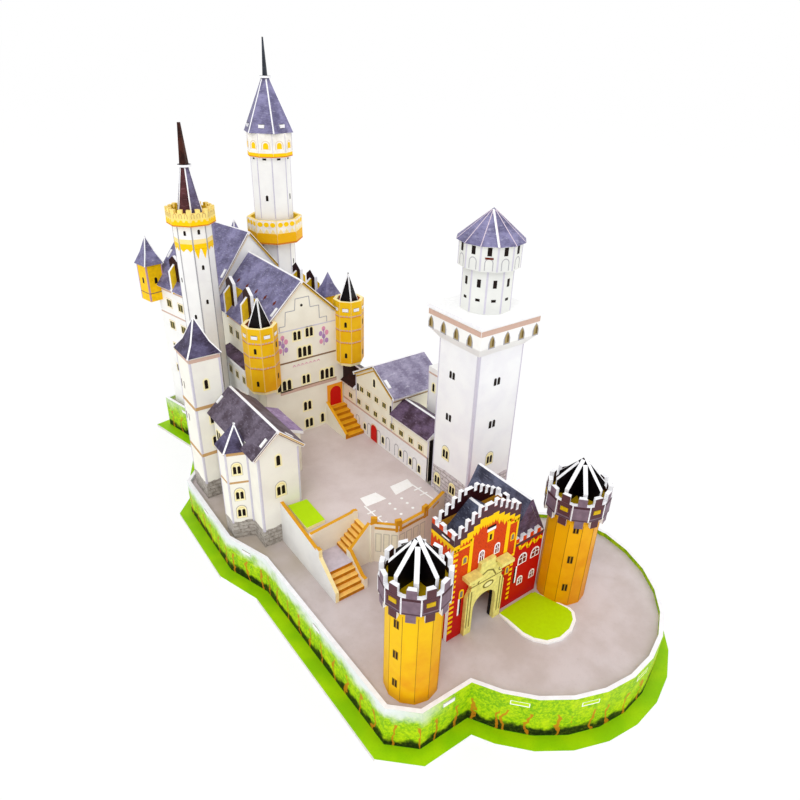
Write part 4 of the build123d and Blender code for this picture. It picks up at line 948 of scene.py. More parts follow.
def portalPrints(p):
    prints = Prints("portal_prints", "portal_cream").front(p["front"])
    middle = p["middle"]
    for side in (-1, 1):
        for kind, rows in p["pairs"].items():
            prints.draw({kind: [(tint, middle + side * a, *row) for tint, a, *row in rows]})
    prints.disc("medal", middle + 1.2, 49.4, 7.0, 3.9, 1)
    prints.disc("portalLight", middle + 1.2, 49.4, 5.0, 2.5, 2)
    prints.line("medal", [(middle + a, b) for a, b in p["arch"]], 0.8)
    prints.line("medal", [(middle - 10.6, 52.6), (middle + 10.6, 52.6)], 0.5)
    prints.done()


portalPrints(portal)

gateTowers = {
    "sides": 12,
    "radius": 12.1,
    "foot": 25.0,
    "top": 73.5,
    "crown": {"radius": 15.0, "foot": 78.0, "notch": 86.5},
    "cross": {"reach": 3.0, "ends": (79.6, 86.3), "hole": 2.05, "slot": (81.75, 84.25), "stem": 1.9,
              "long": 3.9},
    "left": {"place": (-55.7, -115.8), "slits": (6, (67.6, 50.3, 33.5))},
    "right": {"place": (39.9, -116.2), "slits": (7, (71.1, 52.8, 35.0))},
}


def gateCapRule(place):
    # the fins first, then the disc, then the tabs round it
    def rule(face):
        away = math.hypot(face["middle"].x - place[0], face["middle"].y - place[1])
        if abs(face["normal"].z) > 0.5:
            return 1
        return 2 if face["high"] < 84.3 and away > 12.5 else 0
    return rule


def gateTower(side, t):
    base = "gate_tower_" + side
    place = t[side]["place"]
    dress(base + "_shaft", None, "tower_" + side + "_yellow")
    dress(base + "_crown", tubeRule(place), "purple_grey", "maroon")
    dress(base + "_cap", gateCapRule(place), "black_print", "olive_yellow", "foam_white", narrow=2.2,
          cut=lambda face: 2 * (face["high"] < 84.6))
    prints = Prints(base + "_prints", "turret_yellow")
    middle, heights = t[side]["slits"]
    for k, half in prints.facets(place, t["sides"], t["radius"], 0):
        prints.rect("foldOlive", half - 0.22, (t["foot"] + t["top"]) / 2, 0.24, t["top"] - t["foot"])
        for b in heights if (k - middle) % 6 == 0 else ():
            prints.rect("foldOlive", 0, b, 2.7, 4.6)
            for a in (-0.72, 0.72):
                prints.rect("glass", a, b, 0.78, 4.0, 1)
    crown = t["crown"]
    foot, notch = crown["foot"], crown["notch"]
    for k, half in prints.facets(place, t["sides"], crown["radius"], 0):
        prints.belt("crownDark", notch - 1.4, notch - 0.3, 0, 0.1)
        prints.belt("crownLine", foot + 0.2, foot + 0.8, 0, 0.1)
        prints.edges("tab", -half, half, 0.26, foot + 0.1, notch - 0.1, 1, 0.04)
        if k % 2 == 0:
            # a dark cross round the slot, over the merlon and the pendant
            c = t["cross"]
            reach, stem = c["reach"], c["stem"]
            prints.band("crossDark", -reach, reach, c["slot"][1], c["ends"][1], 1)
            prints.band("crossDark", -reach, reach, c["ends"][0], c["slot"][0], 1)
            prints.edges("crossDark", -reach, reach, reach - c["hole"], *c["slot"], 1, 0)
            prints.band("crossDark", -stem, stem, notch, notch + c["long"])
            prints.band("crossDark", -stem, stem, foot - c["long"], foot)
    prints.done()


gateTower("left", gateTowers)
gateTower("right", gateTowers)
print("gatehouse printed")

# Square tower and lookout
dress("square_tower_walls", None, "wall_tower")
dress("square_tower_corbel", None, "wall_pale")
dress("square_tower_plate", None, "plate_white")
# the lookout's drums take a greyer copy of the pale wall: partly their own greyish white, partly painted
# shade against the near key light
dress("lookout_lower_drum lookout_upper_drum", None, "wall_lookout")
dress("lookout_roof", roofRule, "slate_blue", "card_back", narrow=1.2)

squareTower = {
    "left": 20.5,
    "right": 50.5,
    "front": -62.4,
    "back": -33.4,
    "top": 137.4,
    "windows": {
        "left": [(-44.5, 120.7, 4.6, False), (-44.0, 96.0, 4.7, False), (-43.7, 73.0, 6.9, True),
                 (-38.3, 52.9, 6.7, True), (-50.9, 53.2, 6.6, True)],
        "front": [(34.3, 121.0, 4.7, False), (34.0, 96.6, 4.9, False), (34.8, 74.6, 6.3, True),
                  (34.8, 53.0, 6.3, True)],
    },
    "out": 4.5,
    "niches": {"z": 146.3, "high": 5.4, "wide": 2.8, "count": 4},
    "stripe": (150.0, 152.6),
    "lookout": (35.5, -47.9),
    "drums": [
        {"sides": 10, "radius": 12.6, "turn": 9, "foot": 156.0, "top": 176.6, "fold": 0.45,
         "marks": {"rect": [("windowBlack", 0, 170.3, 1.8, 3.8), ("windowBlack", 0, 162.3, 2.2, 1.3)]}},
        {"sides": 12, "radius": 15.1, "turn": 0, "foot": 177.0, "top": 188.3, "fold": 0.42,
         "marks": {"rect": [("windowBlack", 0, 186.0, 2.0, 3.8)],
                   "hoop": [("lineGrey", 0, 180.2, 4.0, 5.6, 0.35)]}},
    ],
    "cone": (12, 16.5, 0),
    "coneEnds": (188.5, 202.5),
}


def squareTowerPrints(t):
    prints = Prints("square_tower_prints", "wall_white")
    faces = [
        (prints.side, t["left"], -1, t["windows"]["left"], t["front"], t["back"]),
        (prints.front, t["front"], -1, t["windows"]["front"], t["left"], t["right"]),
        (prints.side, t["right"], 1, t["windows"]["left"], t["front"], t["back"]),
        (prints.front, t["back"], 1, t["windows"]["front"], t["left"], t["right"]),
    ]
    n = t["niches"]
    for place, where, out, windows, a0, a1 in faces:
        place(where, out)
        for a, b, high, framed in windows:
            if framed:
                prints.bay(a, b + 0.6, high * 1.25)
            else:
                prints.window(a, b, high * 0.86, 2, False, wide=0.42)
        prints.band("lilac", a0 + 0.02, a0 + 1.3, 45.0, t["top"])
        prints.band("lilac", a1 - 0.7, a1 - 0.02, 45.0, t["top"])
        place(where + out * t["out"], out)
        a0, a1 = a0 - t["out"], a1 + t["out"]
        for k in range(n["count"]):
            a = a0 + (a1 - a0) * (k + 0.75) / n["count"]
            prints.pointed("lineGrey", a, n["z"], n["wide"] + 1.4, n["high"] + 1.2)
            prints.pointed("niche", a, n["z"], n["wide"], n["high"], 1)
            prints.pointed("nicheShade", a + 0.55, n["z"] - 0.3, n["wide"] * 0.4, n["high"] * 0.7, 2)
        prints.band("tanPink", a0 + 0.2, a1 - 0.2, *t["stripe"])
    prints.done()


def lookoutPrints(t):
    prints = Prints("lookout_prints", "wall_white")
    for drum in t["drums"]:
        for k, half in prints.facets(t["lookout"], drum["sides"], drum["radius"], drum["turn"]):
            prints.draw(drum["marks"])
            prints.edges("lilac", -half, half, drum["fold"], drum["foot"], drum["top"], 0, 0.03)
    prints.facet(t["lookout"], 12, 15.1, 0, 7).rect("slotRed", 0, 183.0, 3.8, 0.9, 1)
    foot, tip = t["coneEnds"]
    prints.ridges(t["lookout"], *t["cone"], foot, tip, tip - 0.9, "palePink", 0.16)
    half = prints.facet(t["lookout"], *t["cone"], 7, foot, tip).half
    prints.shape("tab", [(half - 0.9, 0.1), (half - 0.05, 0.1), (0.1, 20.4), (-0.6, 20.0)], 2)
    prints.done()


squareTowerPrints(squareTower)
lookoutPrints(squareTower)


def verge(prints, inks, foot, top, out, above):
    # printed lines along a sloping edge of a gable: each with its ink, its distance and its width
    for tint, low, wide in inks:
        prints.strip(tint, foot, top, out, wide, above, low)


# Range
dress("range_walls", None, "cream_wall")
dress("range_roof", roofRule, "slate_pale", "card_back")
dress("range_low_roofs", lambda face: 2 if face["middle"].y > 40 else roofRule(face), "slate_brown",
      "card_back", "roof_black")
dress("range_turret", None, "wall_pale")

rangePiece = {
    "face": 21.0,
    "rear": 58.0,
    "lowRear": 39.0,
    "start": -29.0,
    "lowEnd": 58.0,
    "end": 76.0,
    "high": (6.0, 46.0, 84.0, 96.0),
    "lower": [(52.3, 66.0), (42.4, 65.8), (32.8, 65.7), (23.7, 65.5), (14.3, 65.4), (5.8, 65.3),
              (-3.1, 65.2), (-12.6, 65.1), (-21.6, 65.0)],
    "upper": [(39.1, 75.9), (31.1, 75.9), (22.8, 75.9), (14.6, 75.9)],
    "ground": [(35.5, 50.8, 4.2), (15.3, 50.9, 4.6), (-3.1, 50.9, 4.4), (-12.9, 50.6, 4.4),
               (-21.3, 50.1, 4.8)],
    "marks": {
        "arch": [("windowBlack", 43.6, 75.9, 2.0, 5.2), ("windowBlack", 8.0, 75.9, 2.0, 5.2),
                 ("frameCream", 25.4, 86.4, 4.2, 7.2), ("windowBlack", 25.4, 86.2, 2.2, 5.2, 1),
                 ("tanLight", 25.1, 51.3, 8.6, 12.6, 1), ("darkRed", 25.1, 50.9, 6.8, 11.6, 2)],
        "hoop": [("lineGrey", y, 51.0, 4.2, 9.0, 0.5, 2)
                 for y in (44.0, 30.5, 20.0, 10.0, 1.0, -8.0, -17.0)],
        "band": [("plaster", -28.8, 76.0, 45.2, 60.7), ("tanPink", -28.7, 76.0, 60.7, 61.9),
                 ("tanPink", -28.7, 6.0, 72.8, 73.8), ("tanPink", 46.0, 76.0, 72.8, 73.8),
                 ("lilac", -28.9, -27.9, 45.2, 72.8)],
    },
    "verge": [("gold", 0.1, 0.6), ("windowBrown", 0.7, 0.4)],
    "turret": (39.0, 47.0, -14.0, -4.0),
}


def rangePrints(r):
    prints = Prints("range_prints", "wall_white")
    y0, y1, eaves, peak = r["high"]
    both = r["lower"] + r["upper"]
    walls = [(r["lowRear"], 1, r["start"], y0, r["lower"]), (r["lowRear"], 1, y1, r["lowEnd"], r["lower"]),
             (r["rear"], 1, y0, y1, both), (r["face"], -1, r["start"], r["end"], both)]
    for x, out, start, end, lights in walls:
        prints.side(x, out)
        for y, z in lights:
            if start + 3 < y < end - 3:
                prints.pane(y, z, 3.6, 3.3)
        for y, z, high in r["ground"]:
            if start + 3 < y < end - 3:
                prints.arch("frameCream", y, z + 0.2, 4.0, high + 1.8, 1)
                prints.arch("windowBlack", y, z, 2.3, high, 2)
        if out > 0:
            prints.band("tanPink", start + 0.3, end - 0.3, 60.7, 61.9)
    prints.draw(r["marks"])
    middle = (y0 + y1) / 2
    for side, foot in ((-1, y0), (1, y1)):
        prints.band("lilac", foot, foot - side, 62.0, eaves - 1.0, 1)
        prints.line("gold", [(foot - side * 0.4, eaves - 1.4), (middle, peak - 1.8)], 0.8, 1)
    x = r["face"] - 0.83
    for y in (y0, y1):
        verge(prints, r["verge"], (x, y, eaves), (x, middle, peak), (-1, 0, 0), (x, middle, peak + 50))
    for y, out in ((y0, -1), (y1, 1)):
        prints.front(y, out)
        prints.band("gold", r["face"] + 0.5, r["rear"] - 0.5, 81.8, 83.4)
        prints.band("brown", r["face"] + 0.5, r["rear"] - 0.5, 81.1, 81.6)
    # painted shadow: the range's front end lies in shade, so a band of the black glass ink covers it
    prints.front(r["start"]).band("glass", r["face"] + 0.4, 40.0, 45.2, 73.4)
    x0, x1, y0, y1 = r["turret"]
    for place, where, a0, a1 in ((prints.side, x0, y0, y1), (prints.front, y0, x0, x1)):
        place(where).window((a0 + a1) / 2, 93.0, 5.0)
        prints.band("tanPink", a0 + 0.2, a1 - 0.2, 100.8, 101.8)
        prints.edges("lilac", a0, a1, 0.8, 80.0, 100.6)
    prints.done()


rangePrints(rangePiece)

# Hall
hall = {
    "rightVerge": [("gold", 0.1, 0.8), ("windowBlack", 0.9, 0.45), ("gold", 1.35, 0.25)],
    "leftVerge": [("tanLight", 0.1, 0.5), ("brown", 0.95, 0.25)],
    "front": 60.6,
    "left": -34.0,
    "right": 20.5,
    "annexSide": -39.98,
    "middle": -6.75,
    "eaves": 116.3,
    "peak": 143.8,
    "lip": 1.2,
    "roofFoot": 131.0,
    "smallBartizan": {"place": (22.5, 80.0), "near": 9.0, "roofFoot": 126.4},
    "marks": {
        "window": [(-11.2, 112.4, 5.5, 2), (-2.9, 113.0, 5.6, 2), (-6.6, 101.0, 6.4, 3),
                   (-21.6, 81.3, 6.6, 3), (-6.5, 82.1, 5.7, 2), (8.5, 82.0, 6.6, 3), (-6.4, 63.0, 6.0, 2),
                   (-5.8, 50.2, 6.0, 2), (4.1, 50.7, 6.2, 1)],
        "line": [("lineGrey", [(-22.5, 117.0), (-22.5, 119.8), (-18.7, 119.8), (-17.9, 128.4),
                               (-11.9, 128.4), (-11.1, 135.3), (-2.2, 135.5), (-1.5, 128.7), (4.4, 128.7),
                               (4.5, 120.5), (9.6, 120.6), (9.6, 117.0)], 0.45)],
        "disc": [("windowBlack", -7.2, 130.8, 1.7, 1.7)],
        "band": [("brown", -24.5, 15.5, 95.6, 96.6), ("tanPink", -24.5, 15.5, 75.2, 77.2),
                 ("brown", -24.5, 15.5, 77.2, 77.8), ("lilac", -24.6, 15.6, 116.2, 116.9)],
    },
    "ornaments": {"a": (-20.8, 7.1), "b": 108.2, "dot": (2.6, 3.4), "stem": (101.8, 112.6)},
    "dots": [(0, 4.6), (-2.1, 1.8), (2.1, 1.8), (0, -0.4), (-1.9, -3.4), (1.9, -3.4)],
    "scroll": {"a": -15.0, "b": (92.2, 93.4), "every": 2.8, "count": 7},
    "sideWindows": [(y, 105.5, 4.6, 5.0) for y in (68.0, 82.0, 96.0, 106.0)],
    "annexWindows": [(y, z, 3.6, 4.2) for y in (78.0, 88.0, 98.0, 107.0) for z in (83.0, 62.0)],
    "door": (14.05, 65.2, 11.6, 15.6),
    "diamonds": (67.2, 79.4, 91.6, 104.6, 117.6),
    "turrets": [
        {"place": (-34.6, 60.9), "radius": 10.1, "windows": {4: (111.6, 90.9), 6: (113.1, 93.0)},
         "slot": 120.8, "bands": (115.9, 107.6, 100.4), "foot": 86.0, "top": 124.6},
        {"place": (24.7, 59.4), "radius": 9.5, "windows": {4: (115.2, 94.5)},
         "slot": 123.9, "bands": (120.2, 111.0, 102.9), "foot": 89.6, "top": 129.2},
    ],
    "rear": {"origin": (-6.7, 130.0), "turn": 12.0, "half": 33.0, "long": 66.0, "eaves": 116.4,
             "peak": 157.0},
    "rearSide": {
        "pane": [(10.0 + k * 14.3, z, 5.4, 5.0) for k in range(4) for z in (105.2, 89.0, 72.0, 55.0)],
        "band": [("tanPink", 0.5, 65.5, 113.6, 115.6), ("tanPink", 0.5, 65.5, 96.4, 97.4)],
    },
    "rearBack": {
        "window": [(0.0, 128.0, 6.0, 2, True, "windowOlive")] + [
            (-21.0 + k * 14.0, z, 5.4, 2, True, "windowOlive")
            for z in (105.0, 88.0, 70.0, 52.0) for k in range(4)],
        "band": [("tanPink", -32.5, 32.5, 96.4, 97.4)],
    },
    "bartizans": [(36.0, 67.0), (-36.0, 67.0)],
    "bartizanHalf": 6.0,
    "bartizanMarks": {
        "arch": [("windowBlack", 0, 120.5, 2.0, 4.2)],
        "band": [("brown", -5.8, 5.8, 111.6, 112.2)],
        "edges": [("mauve", -6.0, 6.0, 0.8, 106.4, 131.0)],
    },
    "bartizanRoof": {"lip": 1.2, "z0": 131.5, "zBreak": 139.5, "z1": 150.0, "shrink": 0.6},
}


def turretRule(face):
    # a turret's panels are yellow outside and orange inside
    for turret in hall["turrets"]:
        away = face["middle"].xy - Vector(turret["place"])
        if away.length < turret["radius"] + 4.0:
            return outwards(face, turret["place"]) <= 0
    return 0


def capRule(face):
    # the disc in a turret: yellow above, with white tabs
    if face["normal"].z > 0.9:
        return 1
    return 2 if abs(face["normal"].z) < 0.1 and face["high"] - face["low"] < 2.4 else 0


def bartizanRule(face):
    # slate on the folded roofs above the yellow boxes
    small = hall["smallBartizan"]
    near = (face["middle"].xy - Vector(small["place"])).length < small["near"]
    return face["low"] > (small["roofFoot"] if near else hall["roofFoot"])


def pinnacleRule(face):
    # the outer half of each crossed card is amber, the half against the wall is dark
    return abs(face["normal"].x) > 0.6


dress("hall_front_walls", None, "wall_hall")
dress("hall_rear_walls", None, "wall_pale")
dress("hall_front_roof hall_rear_roof", roofRule, "slate_blue", "card_back")
dress("hall_turret_left hall_turret_right", turretRule, "turret_yellow", "turret_inner", edge="foam_cream")
dress("hall_turret_caps", capRule, "black_print", "olive_yellow", "foam_white", narrow=1.0)
dress("bartizans", bartizanRule, "yellow_print", "slate_blue", narrow=1.9)
dress("annex", roofRule, "slate_brown", "wall_pale")
dress("hall_pinnacles", pinnacleRule, "amber_print", "pinnacle_dark", narrow=1.9)


def slopeOf(node, side):
    # the upper face of a roof on one side: its middle and direction
    faces = [f for f in cardFaces(nodes[node]) if f["normal"].z > 0.1 and f["normal"].x * side > 0.3]
    return max(faces, key=lambda face: face["area"])


def hallPrints(h):
    prints = Prints("hall_prints", "wall_white").front(h["front"])
    prints.draw(h["marks"])
    o, s = h["ornaments"], h["scroll"]
    for a in o["a"]:
        # a plain leafy ornament
        for k, (da, db) in enumerate(h["dots"]):
            prints.disc(("rose", "mauve")[k % 2], a + da, o["b"] + db, *o["dot"], k % 3)
        prints.line("mauve", [(a, b) for b in o["stem"]], 0.5, 3)
    low, high = s["b"]
    for k in range(s["count"]):
        a = s["a"] + k * s["every"]
        prints.line("rose", [(a, low), (a + 0.9, high), (a + 1.9, low)], 0.4)
    a, b, wide, high = h["door"]
    prints.rect("orangeFrame", a, b, wide, high, 1)
    prints.arch("darkRed", a + 0.4, b - 0.7, wide * 0.7, high * 0.86, 2)
    middle, y = h["middle"], h["front"] - 1.03
    for x, inks in ((h["right"] + h["lip"], h["rightVerge"]), (h["left"] - h["lip"], h["leftVerge"])):
        verge(prints, inks, (x, y, h["eaves"]), (middle, y, h["peak"]), (0, -1, 0), (middle, y, 200.0))
    slope = slopeOf("hall_front_roof", -1)
    along, out = Vector((0, 1, 0)), slope["normal"]
    prints.on(slope["middle"], along, out, along.cross(out))
    for y in h["diamonds"]:
        a, b = y - slope["middle"].y, (132.6 - slope["middle"].z) / abs(prints.up.z)
        prints.shape("slotRed", [(a - 1.3, b), (a, b - 1.9), (a + 1.3, b), (a, b + 1.9)])
    for x, out in ((h["left"], -1), (h["right"], 1)):
        prints.side(x, out).draw({"pane": h["sideWindows"], "band": [("tanPink", 71.0, 111.0, 113.4, 115.2)]})
    prints.side(h["annexSide"]).draw({"pane": h["annexWindows"]})
    rearPrints(prints, h)
    prints.done()


def rearPrints(prints, h):
    # the walls, the gable and the bartizans of the hall's rear part, which stands at an angle
    r = h["rear"]
    turn = math.radians(r["turn"])
    east = Vector((math.cos(turn), math.sin(turn), 0))
    north = Vector((-math.sin(turn), math.cos(turn), 0))
    start = Vector((*r["origin"], 0))
    for side in (-1, 1):
        prints.on(start + east * side * r["half"], north, east * side).draw(h["rearSide"])
    prints.on(start + north * r["long"], east, north).draw(h["rearBack"])
    place = start - north * 1.03
    for side, inks in ((1, h["rightVerge"]), (-1, h["leftVerge"])):
        foot = place + east * side * (r["half"] + h["lip"]) + Vector((0, 0, r["eaves"]))
        verge(prints, inks, foot, place + Vector((0, 0, r["peak"])), -north, place + Vector((0, 0, 250.0)))
    half = h["bartizanHalf"]
    for a, b in h["bartizans"]:
        centre = start + east * a + north * b
        prints.hips("tab", centre, east, north, (half, half), h["bartizanRoof"], 0.45)
        for out in (east, -east, north, -north):
            prints.on(centre + out * half, Vector((-out.y, out.x, 0)), out).draw(h["bartizanMarks"])


def hallTurretPrints(index, t):
    prints = Prints("hall_turret_prints_" + str(index), "turret_yellow")
    for k, half in prints.facets(t["place"], 8, t["radius"]):
        for b in t["windows"].get(k, t["windows"][4]) if k % 2 == 0 else ():
            prints.arch("windowBlack", 0, b, 1.5, 3.4, 1)
        for b in t["bands"]:
            for j in range(4):
                prints.rect("pinkGrey", half * (j - 1.5) / 2, b + 0.4, half * 0.36, 0.8)
            prints.belt("orangeLine", b - 0.45, b)
        prints.edges("foldGold", -half, half, 0.26, t["foot"], t["top"], 1, 0.02)
    prints.facet(t["place"], 8, t["radius"], 22.5, 4).rect("windowBlack", 0, t["slot"], 3.2, 1.0, 1)
    foot = t["top"] - 3.8
    prints.ridges(t["place"], 4, t["radius"] - 2.6, -15, foot, foot + 20.5, foot + 19.6, "tab", 0.5)
    prints.done()


hallPrints(hall)
for index, turret in enumerate(hall["turrets"]):
    hallTurretPrints(index, turret)
print("hall printed")

# Towers
towers = {
    "tall": {
        "place": (20.0, 145.0),
        "radius": 12.7,
        "foot": 117.0,
        "top": 201.8,
        "gallery": (147.0, 164.0, 18.4),
        "collar": (10, 14.5, 0),
        "lights": (177.0, 133.0),
        "galleryMarks": {
            "disc": [("gateYellow", a, 161.0, 3.7, 3.2) for a in (-4.3, 0.0, 4.3)],
            "shape": [("creamOrange", [(a - 1.9, 155.3), (a + 1.9, 155.3), (a, 158.2)])
                      for a in (-4.3, 0.0, 4.3)],
            "belt": [("amberBand", 148.2, 155.3), ("orangeLine", 148.1, 149.2, 1)],
        },
        "collarMarks": {
            "arch": [("gateYellow", 0, 209.2, 3.4, 3.8)],
            "hoop": [("tanLight", 0, 209.6, 5.6, 5.4, 0.4)],
            "belt": [("gateYellow", 202.4, 204.8), ("orangeLine", 202.3, 202.9, 1)],
        },
        "cone": (6, 16.6, 15, 216.5, 252.7, 246.5),
    },
    "slim": {
        "place": (-52.5, 100.0),
        "radius": 10.6,
        "foot": 60.0,
        "top": 176.3,
        "gallery": 13.3,
        "lights": {4: (172.5, 123.7), 5: (173.0, 153.0, 132.6), 3: (144.7,), 2: (160.0, 128.0),
                   0: (172.5, 140.0), 7: (151.0, 120.0)},
        "cone": (6, 8.2, 15, 178.5, 218.1, 205.7),
    },
}


def spireRule(tip, brown):
    # the panels, the disc, its rim, the tip above it, and the brown panels between the grey ones
    def rule(face):
        if abs(face["normal"].z) > 0.9:
            return 1
        if face["high"] - face["low"] < 2.4:
            return 2
        if face["low"] > tip:
            return 3
        angle = math.degrees(math.atan2(face["normal"].y, face["normal"].x))
        return 4 if brown and round((angle + 135) / 60) % 2 == 0 else 0
    return rule


dress("tall_tower_shaft slim_tower_shaft", None, "wall_pale")
for tower, t in towers.items():
    dress(tower + "_tower_gallery", tubeRule(t["place"]), "gallery_" + tower, "amber_print",
          edge="gallery_edge")
dress("tall_tower_collar", None, "collar")
dress("tall_tower_spire", spireRule(240.0, False), "slate_blue", "black_print", "foam_white", "tip_grey",
      narrow=1.2)
dress("slim_tower_spire", spireRule(203.0, True), "slate_spire", "black_print", "foam_white", "tip_brown",
      "spire_brown", narrow=1.2)


def tallTowerPrints(t):
    prints = Prints("tall_tower_prints", "wall_white")
    low, high, radius = t["gallery"]
    for foot, top in ((t["foot"], low), (high, t["top"])):
        prints.folds(t["place"], 8, t["radius"], 22.5, foot, top, "lilac")
    for k, half in prints.facets(t["place"], 8, t["radius"]):
        for b in t["lights"] if k % 2 == 0 else ():
            prints.arch("windowBlack", 0, b, 1.7, 3.6)
        prints.rect("windowBlack", 0, 201.0, 2.4, 1.2, 1)
    for k, half in prints.facets(t["place"], 8, radius):
        prints.draw(t["galleryMarks"])
        prints.edges("foldPale", -half, half, 0.4, 154.6, 163.2, 1, 0.05)
    for k, half in prints.facets(t["place"], *t["collar"]):
        prints.draw(t["collarMarks"])
        prints.band("lilac", half - 0.35, half - 0.05, 205.2, 216.2, 1)
    prints.ridges(t["place"], *t["cone"], "tab", 0.42)
    prints.done()


def slimTowerPrints(t):
    prints = Prints("slim_tower_prints", "wall_white")
    prints.folds(t["place"], 8, t["radius"], 22.5, t["foot"], t["top"], "lineGrey", 0.3)
    for k, half in prints.facets(t["place"], 8, t["radius"]):
        for b in t["lights"].get(k, ()):
            prints.arch("windowBlack", 0, b, 1.4, 2.7)
        prints.belt("creamOrange", 166.5, 169.0, 0, 0.5)
        prints.belt("gateYellow", 163.6, 166.5, 0, 0.4)
        for a in (-half / 2, half / 2):
            tip = 158.0 if k in (1, 5) else 162.0
            prints.shape("gateYellow", [(a - half * 0.42, 163.7), (a + half * 0.42, 163.7), (a, tip)])
    for k, half in prints.facets(t["place"], 8, t["gallery"]):
        prints.belt("gateYellow", 176.7, 179.0)
        prints.belt("orangeLine", 176.6, 177.2, 1)
        for a in (-half * 0.62, 0.0, half * 0.62):
            prints.disc("gateYellow", a, 179.2, half * 0.36, 1.8, 1)
            prints.hoop("tan", a, 182.2, half * 0.36, 2.6, 0.25)
    prints.ridges(t["place"], *t["cone"], "tab", 0.3)
    prints.done()


tallTowerPrints(towers["tall"])
slimTowerPrints(towers["slim"])

# Bower and left block
dress("bower_walls left_block_walls", None, "wall_footed")
dress("bower_roof", roofRule, "slate_bower", "card_back")
dress("bower_bay", lambda face: face["low"] > 79.0, "wall_footed", "slate_dark")
dress("bower_wing", roofRule, "slate_lilac", "cream_wall")
dress("left_block_roof", roofRule, "slate_dark", "card_back")

leftSide = {
    "front": -3.6,
    "frontMarks": {
        "window": [(-58.7, 76.5, 6.0)],
        "bay": [(-58.4, 58.2, 9.6)],
        "edges": [("lilac", -70.0, -46.6, 1.1, 34.0, 81.0)],
    },
    "side": -70.0,
    "sideMarks": {
        "window": [(y, z, 6.0, 2) for y in (34.0, 42.0, 49.0) for z in (68.0, 50.0)],
        "band": [("lilac", -3.5, -2.5, 34.0, 81.0), ("lilac", 8.0, 8.8, 34.0, 81.0),
                 ("tanPink", 27.4, 53.6, 79.2, 81.0), ("tanPink", 27.4, 53.6, 59.8, 60.8)],
    },
    "bay": [(-70.0, 27.0), (-80.6, 23.0), (-80.6, 13.0), (-70.0, 9.0)],
    "bayTip": (-72.0, 18.0, 93.0),
    "bayFoot": (-82.0, 12.2, 80.0),
    "baySide": (-71.0, 7.6, 80.0),
    "gable": (-58.3, -5.13, 92.6),
    "verges": [(-44.8, ("brown", "tanLight", "gold")), (-71.8, ("tanLight", "tab", "brown"))],
    "block": {"front": 55.5, "left": -79.0, "right": -61.5, "back": 75.0},
    "blockRoof": {"lip": 1.0, "z0": 116.0, "zBreak": 122.0, "z1": 135.0, "shrink": 0.62},
}


def leftPrints(p):
    prints = Prints("left_side_prints", "wall_white").front(p["front"])
    prints.draw(p["frontMarks"])
    prints.side(p["side"]).draw(p["sideMarks"])
    for (ax, ay), (bx, by) in zip(p["bay"], p["bay"][1:]):
        along = Vector((bx - ax, by - ay, 0))
        length = along.length
        prints.on((ax, ay, 0), along / length, Vector((along.y, -along.x, 0)) / length)
        for b in (69.2, 52.8, 41.2) if ax != bx else ():
            prints.bay(length / 2 - 0.4, b, 8.2)
        prints.band("tan", 0.2, length - 0.2, 60.0, 61.2)
        prints.band("tan", 0.2, length - 0.2, 77.6, 79.6)
        prints.edges("lilac", 0.0, length, 0.7, 34.0, 79.4, 1)
    b = p["block"]
    faces = [(prints.front, b["front"], -1, b["left"], b["right"],
              [(-71.1, 98.8, 5.5), (-70.4, 76.2, 5.1), (-70.4, 62.0, 5.1)]),
             (prints.side, b["left"], -1, b["front"], b["back"],
              [(y, z, 4.6, 1, False, "shadeGrey", 0.2) for y in (69.0, 73.0) for z in (95.0, 74.0)]),
             (prints.front, b["back"], 1, b["left"], b["right"],
              [(-70.2, z, 5.0, 2) for z in (97.0, 76.0, 62.0)])]
    for place, where, out, a0, a1, windows in faces:
        place(where, out).draw({"window": windows})
        for tint, low, high in (("tan", 83.9, 85.9), ("tan", 53.2, 55.2), ("tanPink", 113.0, 115.0)):
            prints.band(tint, a0 + 0.1, a1 - 0.1, low, high, 1)
        prints.edges("lilac", a0, a1, 1.1, 34.0, 115.6)
    prints.hips("tab", (-70.25, 65.25, 0), (1, 0, 0), (0, 1, 0), (8.75, 9.75), p["blockRoof"], 0.5)
    tip, foot, side = (Vector(p[key]) for key in ("bayTip", "bayFoot", "baySide"))
    out = (side - foot).cross(tip - foot)
    prints.strip("tab", foot, tip, out, 0.9, side)
    prints.strip("tab", side, tip, out, 0.6, foot)
    x, y, z = p["gable"]
    for edge, inks in p["verges"]:
        rows = [(tint, 0.1 + 0.42 * k, 0.42) for k, tint in enumerate(inks)]
        verge(prints, rows, (edge, y, 80.7), (x, y, z), (0, -1, 0), (x, y, 200.0))
    prints.done()


leftPrints(leftSide)
print("card faces dressed")

# Camera, light and floor
photoView = {
    "place": (-173.46, -257.24, 262.0),
    "yaw": 37.19,
    "pitch": 28.60,
    "roll": -1.673,
    "focal": 634.31,
    "picture": 800.0,
    "sensor": 36.0,
}


def photoCamera(v):
    yaw, pitch, roll = (math.radians(v[key]) for key in ("yaw", "pitch", "roll"))
    look = Vector((math.sin(yaw) * math.cos(pitch), math.cos(yaw) * math.cos(pitch), -math.sin(pitch)))
    level = Vector((math.cos(yaw), -math.sin(yaw), 0.0))
    down = look.cross(level)
    right = level * math.cos(roll) + down * math.sin(roll)
    down = down * math.cos(roll) - level * math.sin(roll)
    lens = bpy.data.cameras.new("photo_camera")
    lens.sensor_width = v["sensor"]
    lens.lens = v["sensor"] * v["focal"] / v["picture"]
    lens.clip_start = 0.01
    lens.clip_end = 400.0
    camera = bpy.data.objects.new("photo_camera", lens)
    bpy.context.scene.collection.objects.link(camera)
    turn = Matrix((right, -down, -look)).transposed().to_4x4()
    camera.matrix_world = Matrix.Translation(plan(*v["place"])) @ turn
    bpy.context.scene.camera = camera


studio = {"sky": 1.0, "floorShow": 0.85, "floorSize": 300.0}


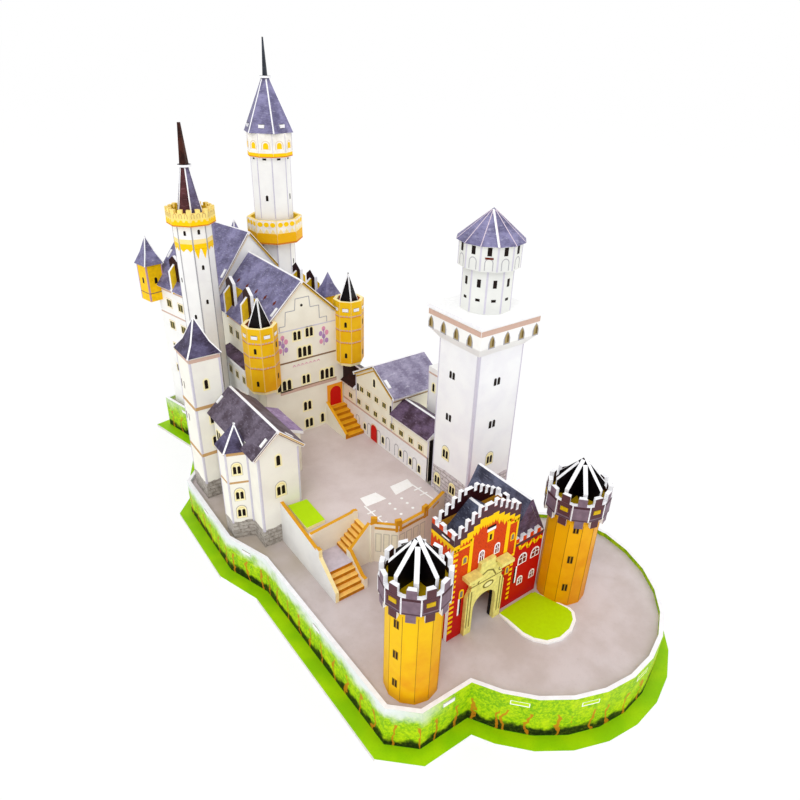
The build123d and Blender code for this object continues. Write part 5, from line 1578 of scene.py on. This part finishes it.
def lamp(name, place, aim, size, power):
    light = bpy.data.lights.new(name, "AREA")
    light.shape = "DISK"
    light.size = size
    light.energy = power
    obj = bpy.data.objects.new(name, light)
    bpy.context.scene.collection.objects.link(obj)
    obj.location = place
    obj.rotation_euler = (Vector(aim) - Vector(place)).to_track_quat("-Z", "Y").to_euler()


def studioRoom(s):
    world = bpy.data.worlds.new("studio")
    bpy.context.scene.world = world
    world.use_nodes = True
    sky = world.node_tree.nodes["Background"]
    sky.inputs["Color"].default_value = (1.0, 1.0, 1.0, 1.0)
    sky.inputs["Strength"].default_value = s["sky"]
    half = s["floorSize"] / 2
    mesh = bpy.data.meshes.new("floor")
    corners = [(-half, -half, 0), (half, -half, 0), (half, half, 0), (-half, half, 0)]
    mesh.from_pydata([Vector(c) + Vector((0, 0, -0.00005)) for c in corners], [], [(0, 1, 2, 3)])
    floor = bpy.data.objects.new("floor", mesh)
    bpy.context.scene.collection.objects.link(floor)
    f = Finish("floor_white", 0.8)
    f.shader.inputs["Base Color"].default_value = ink(255, 255, 255)
    glow = f.add("ShaderNodeEmission", {}, {"Color": (1.0, 1.0, 1.0, 1.0), "Strength": 1.0})
    camera = f.add("ShaderNodeLightPath", {}, {}, "Is Camera Ray")
    glossy = f.add("ShaderNodeLightPath", {}, {}, "Is Glossy Ray")
    clear = f.add("ShaderNodeLightPath", {}, {}, "Is Transmission Ray")
    share = (camera | glossy | clear) * s["floorShow"]
    plain = Value(f, f.shader.outputs[0])
    both = f.add("ShaderNodeMixShader", {}, {0: share, 1: plain, 2: glow})
    output = f.tree.nodes["Material Output"]
    f.tree.links.new(both.socket, output.inputs["Surface"])
    mesh.materials.append(f.material)


photoCamera(photoView)
studioRoom(studio)
lamp("key_light", (-0.9, -0.7, 1.3), (0.0, 0.0, 0.08), 0.9, 6.0)
lamp("fill_light", (0.9, -0.9, 0.9), (0.0, 0.0, 0.08), 0.9, 1.6)
bpy.context.scene.view_settings.view_transform = "Standard"
print("camera, light and floor set")
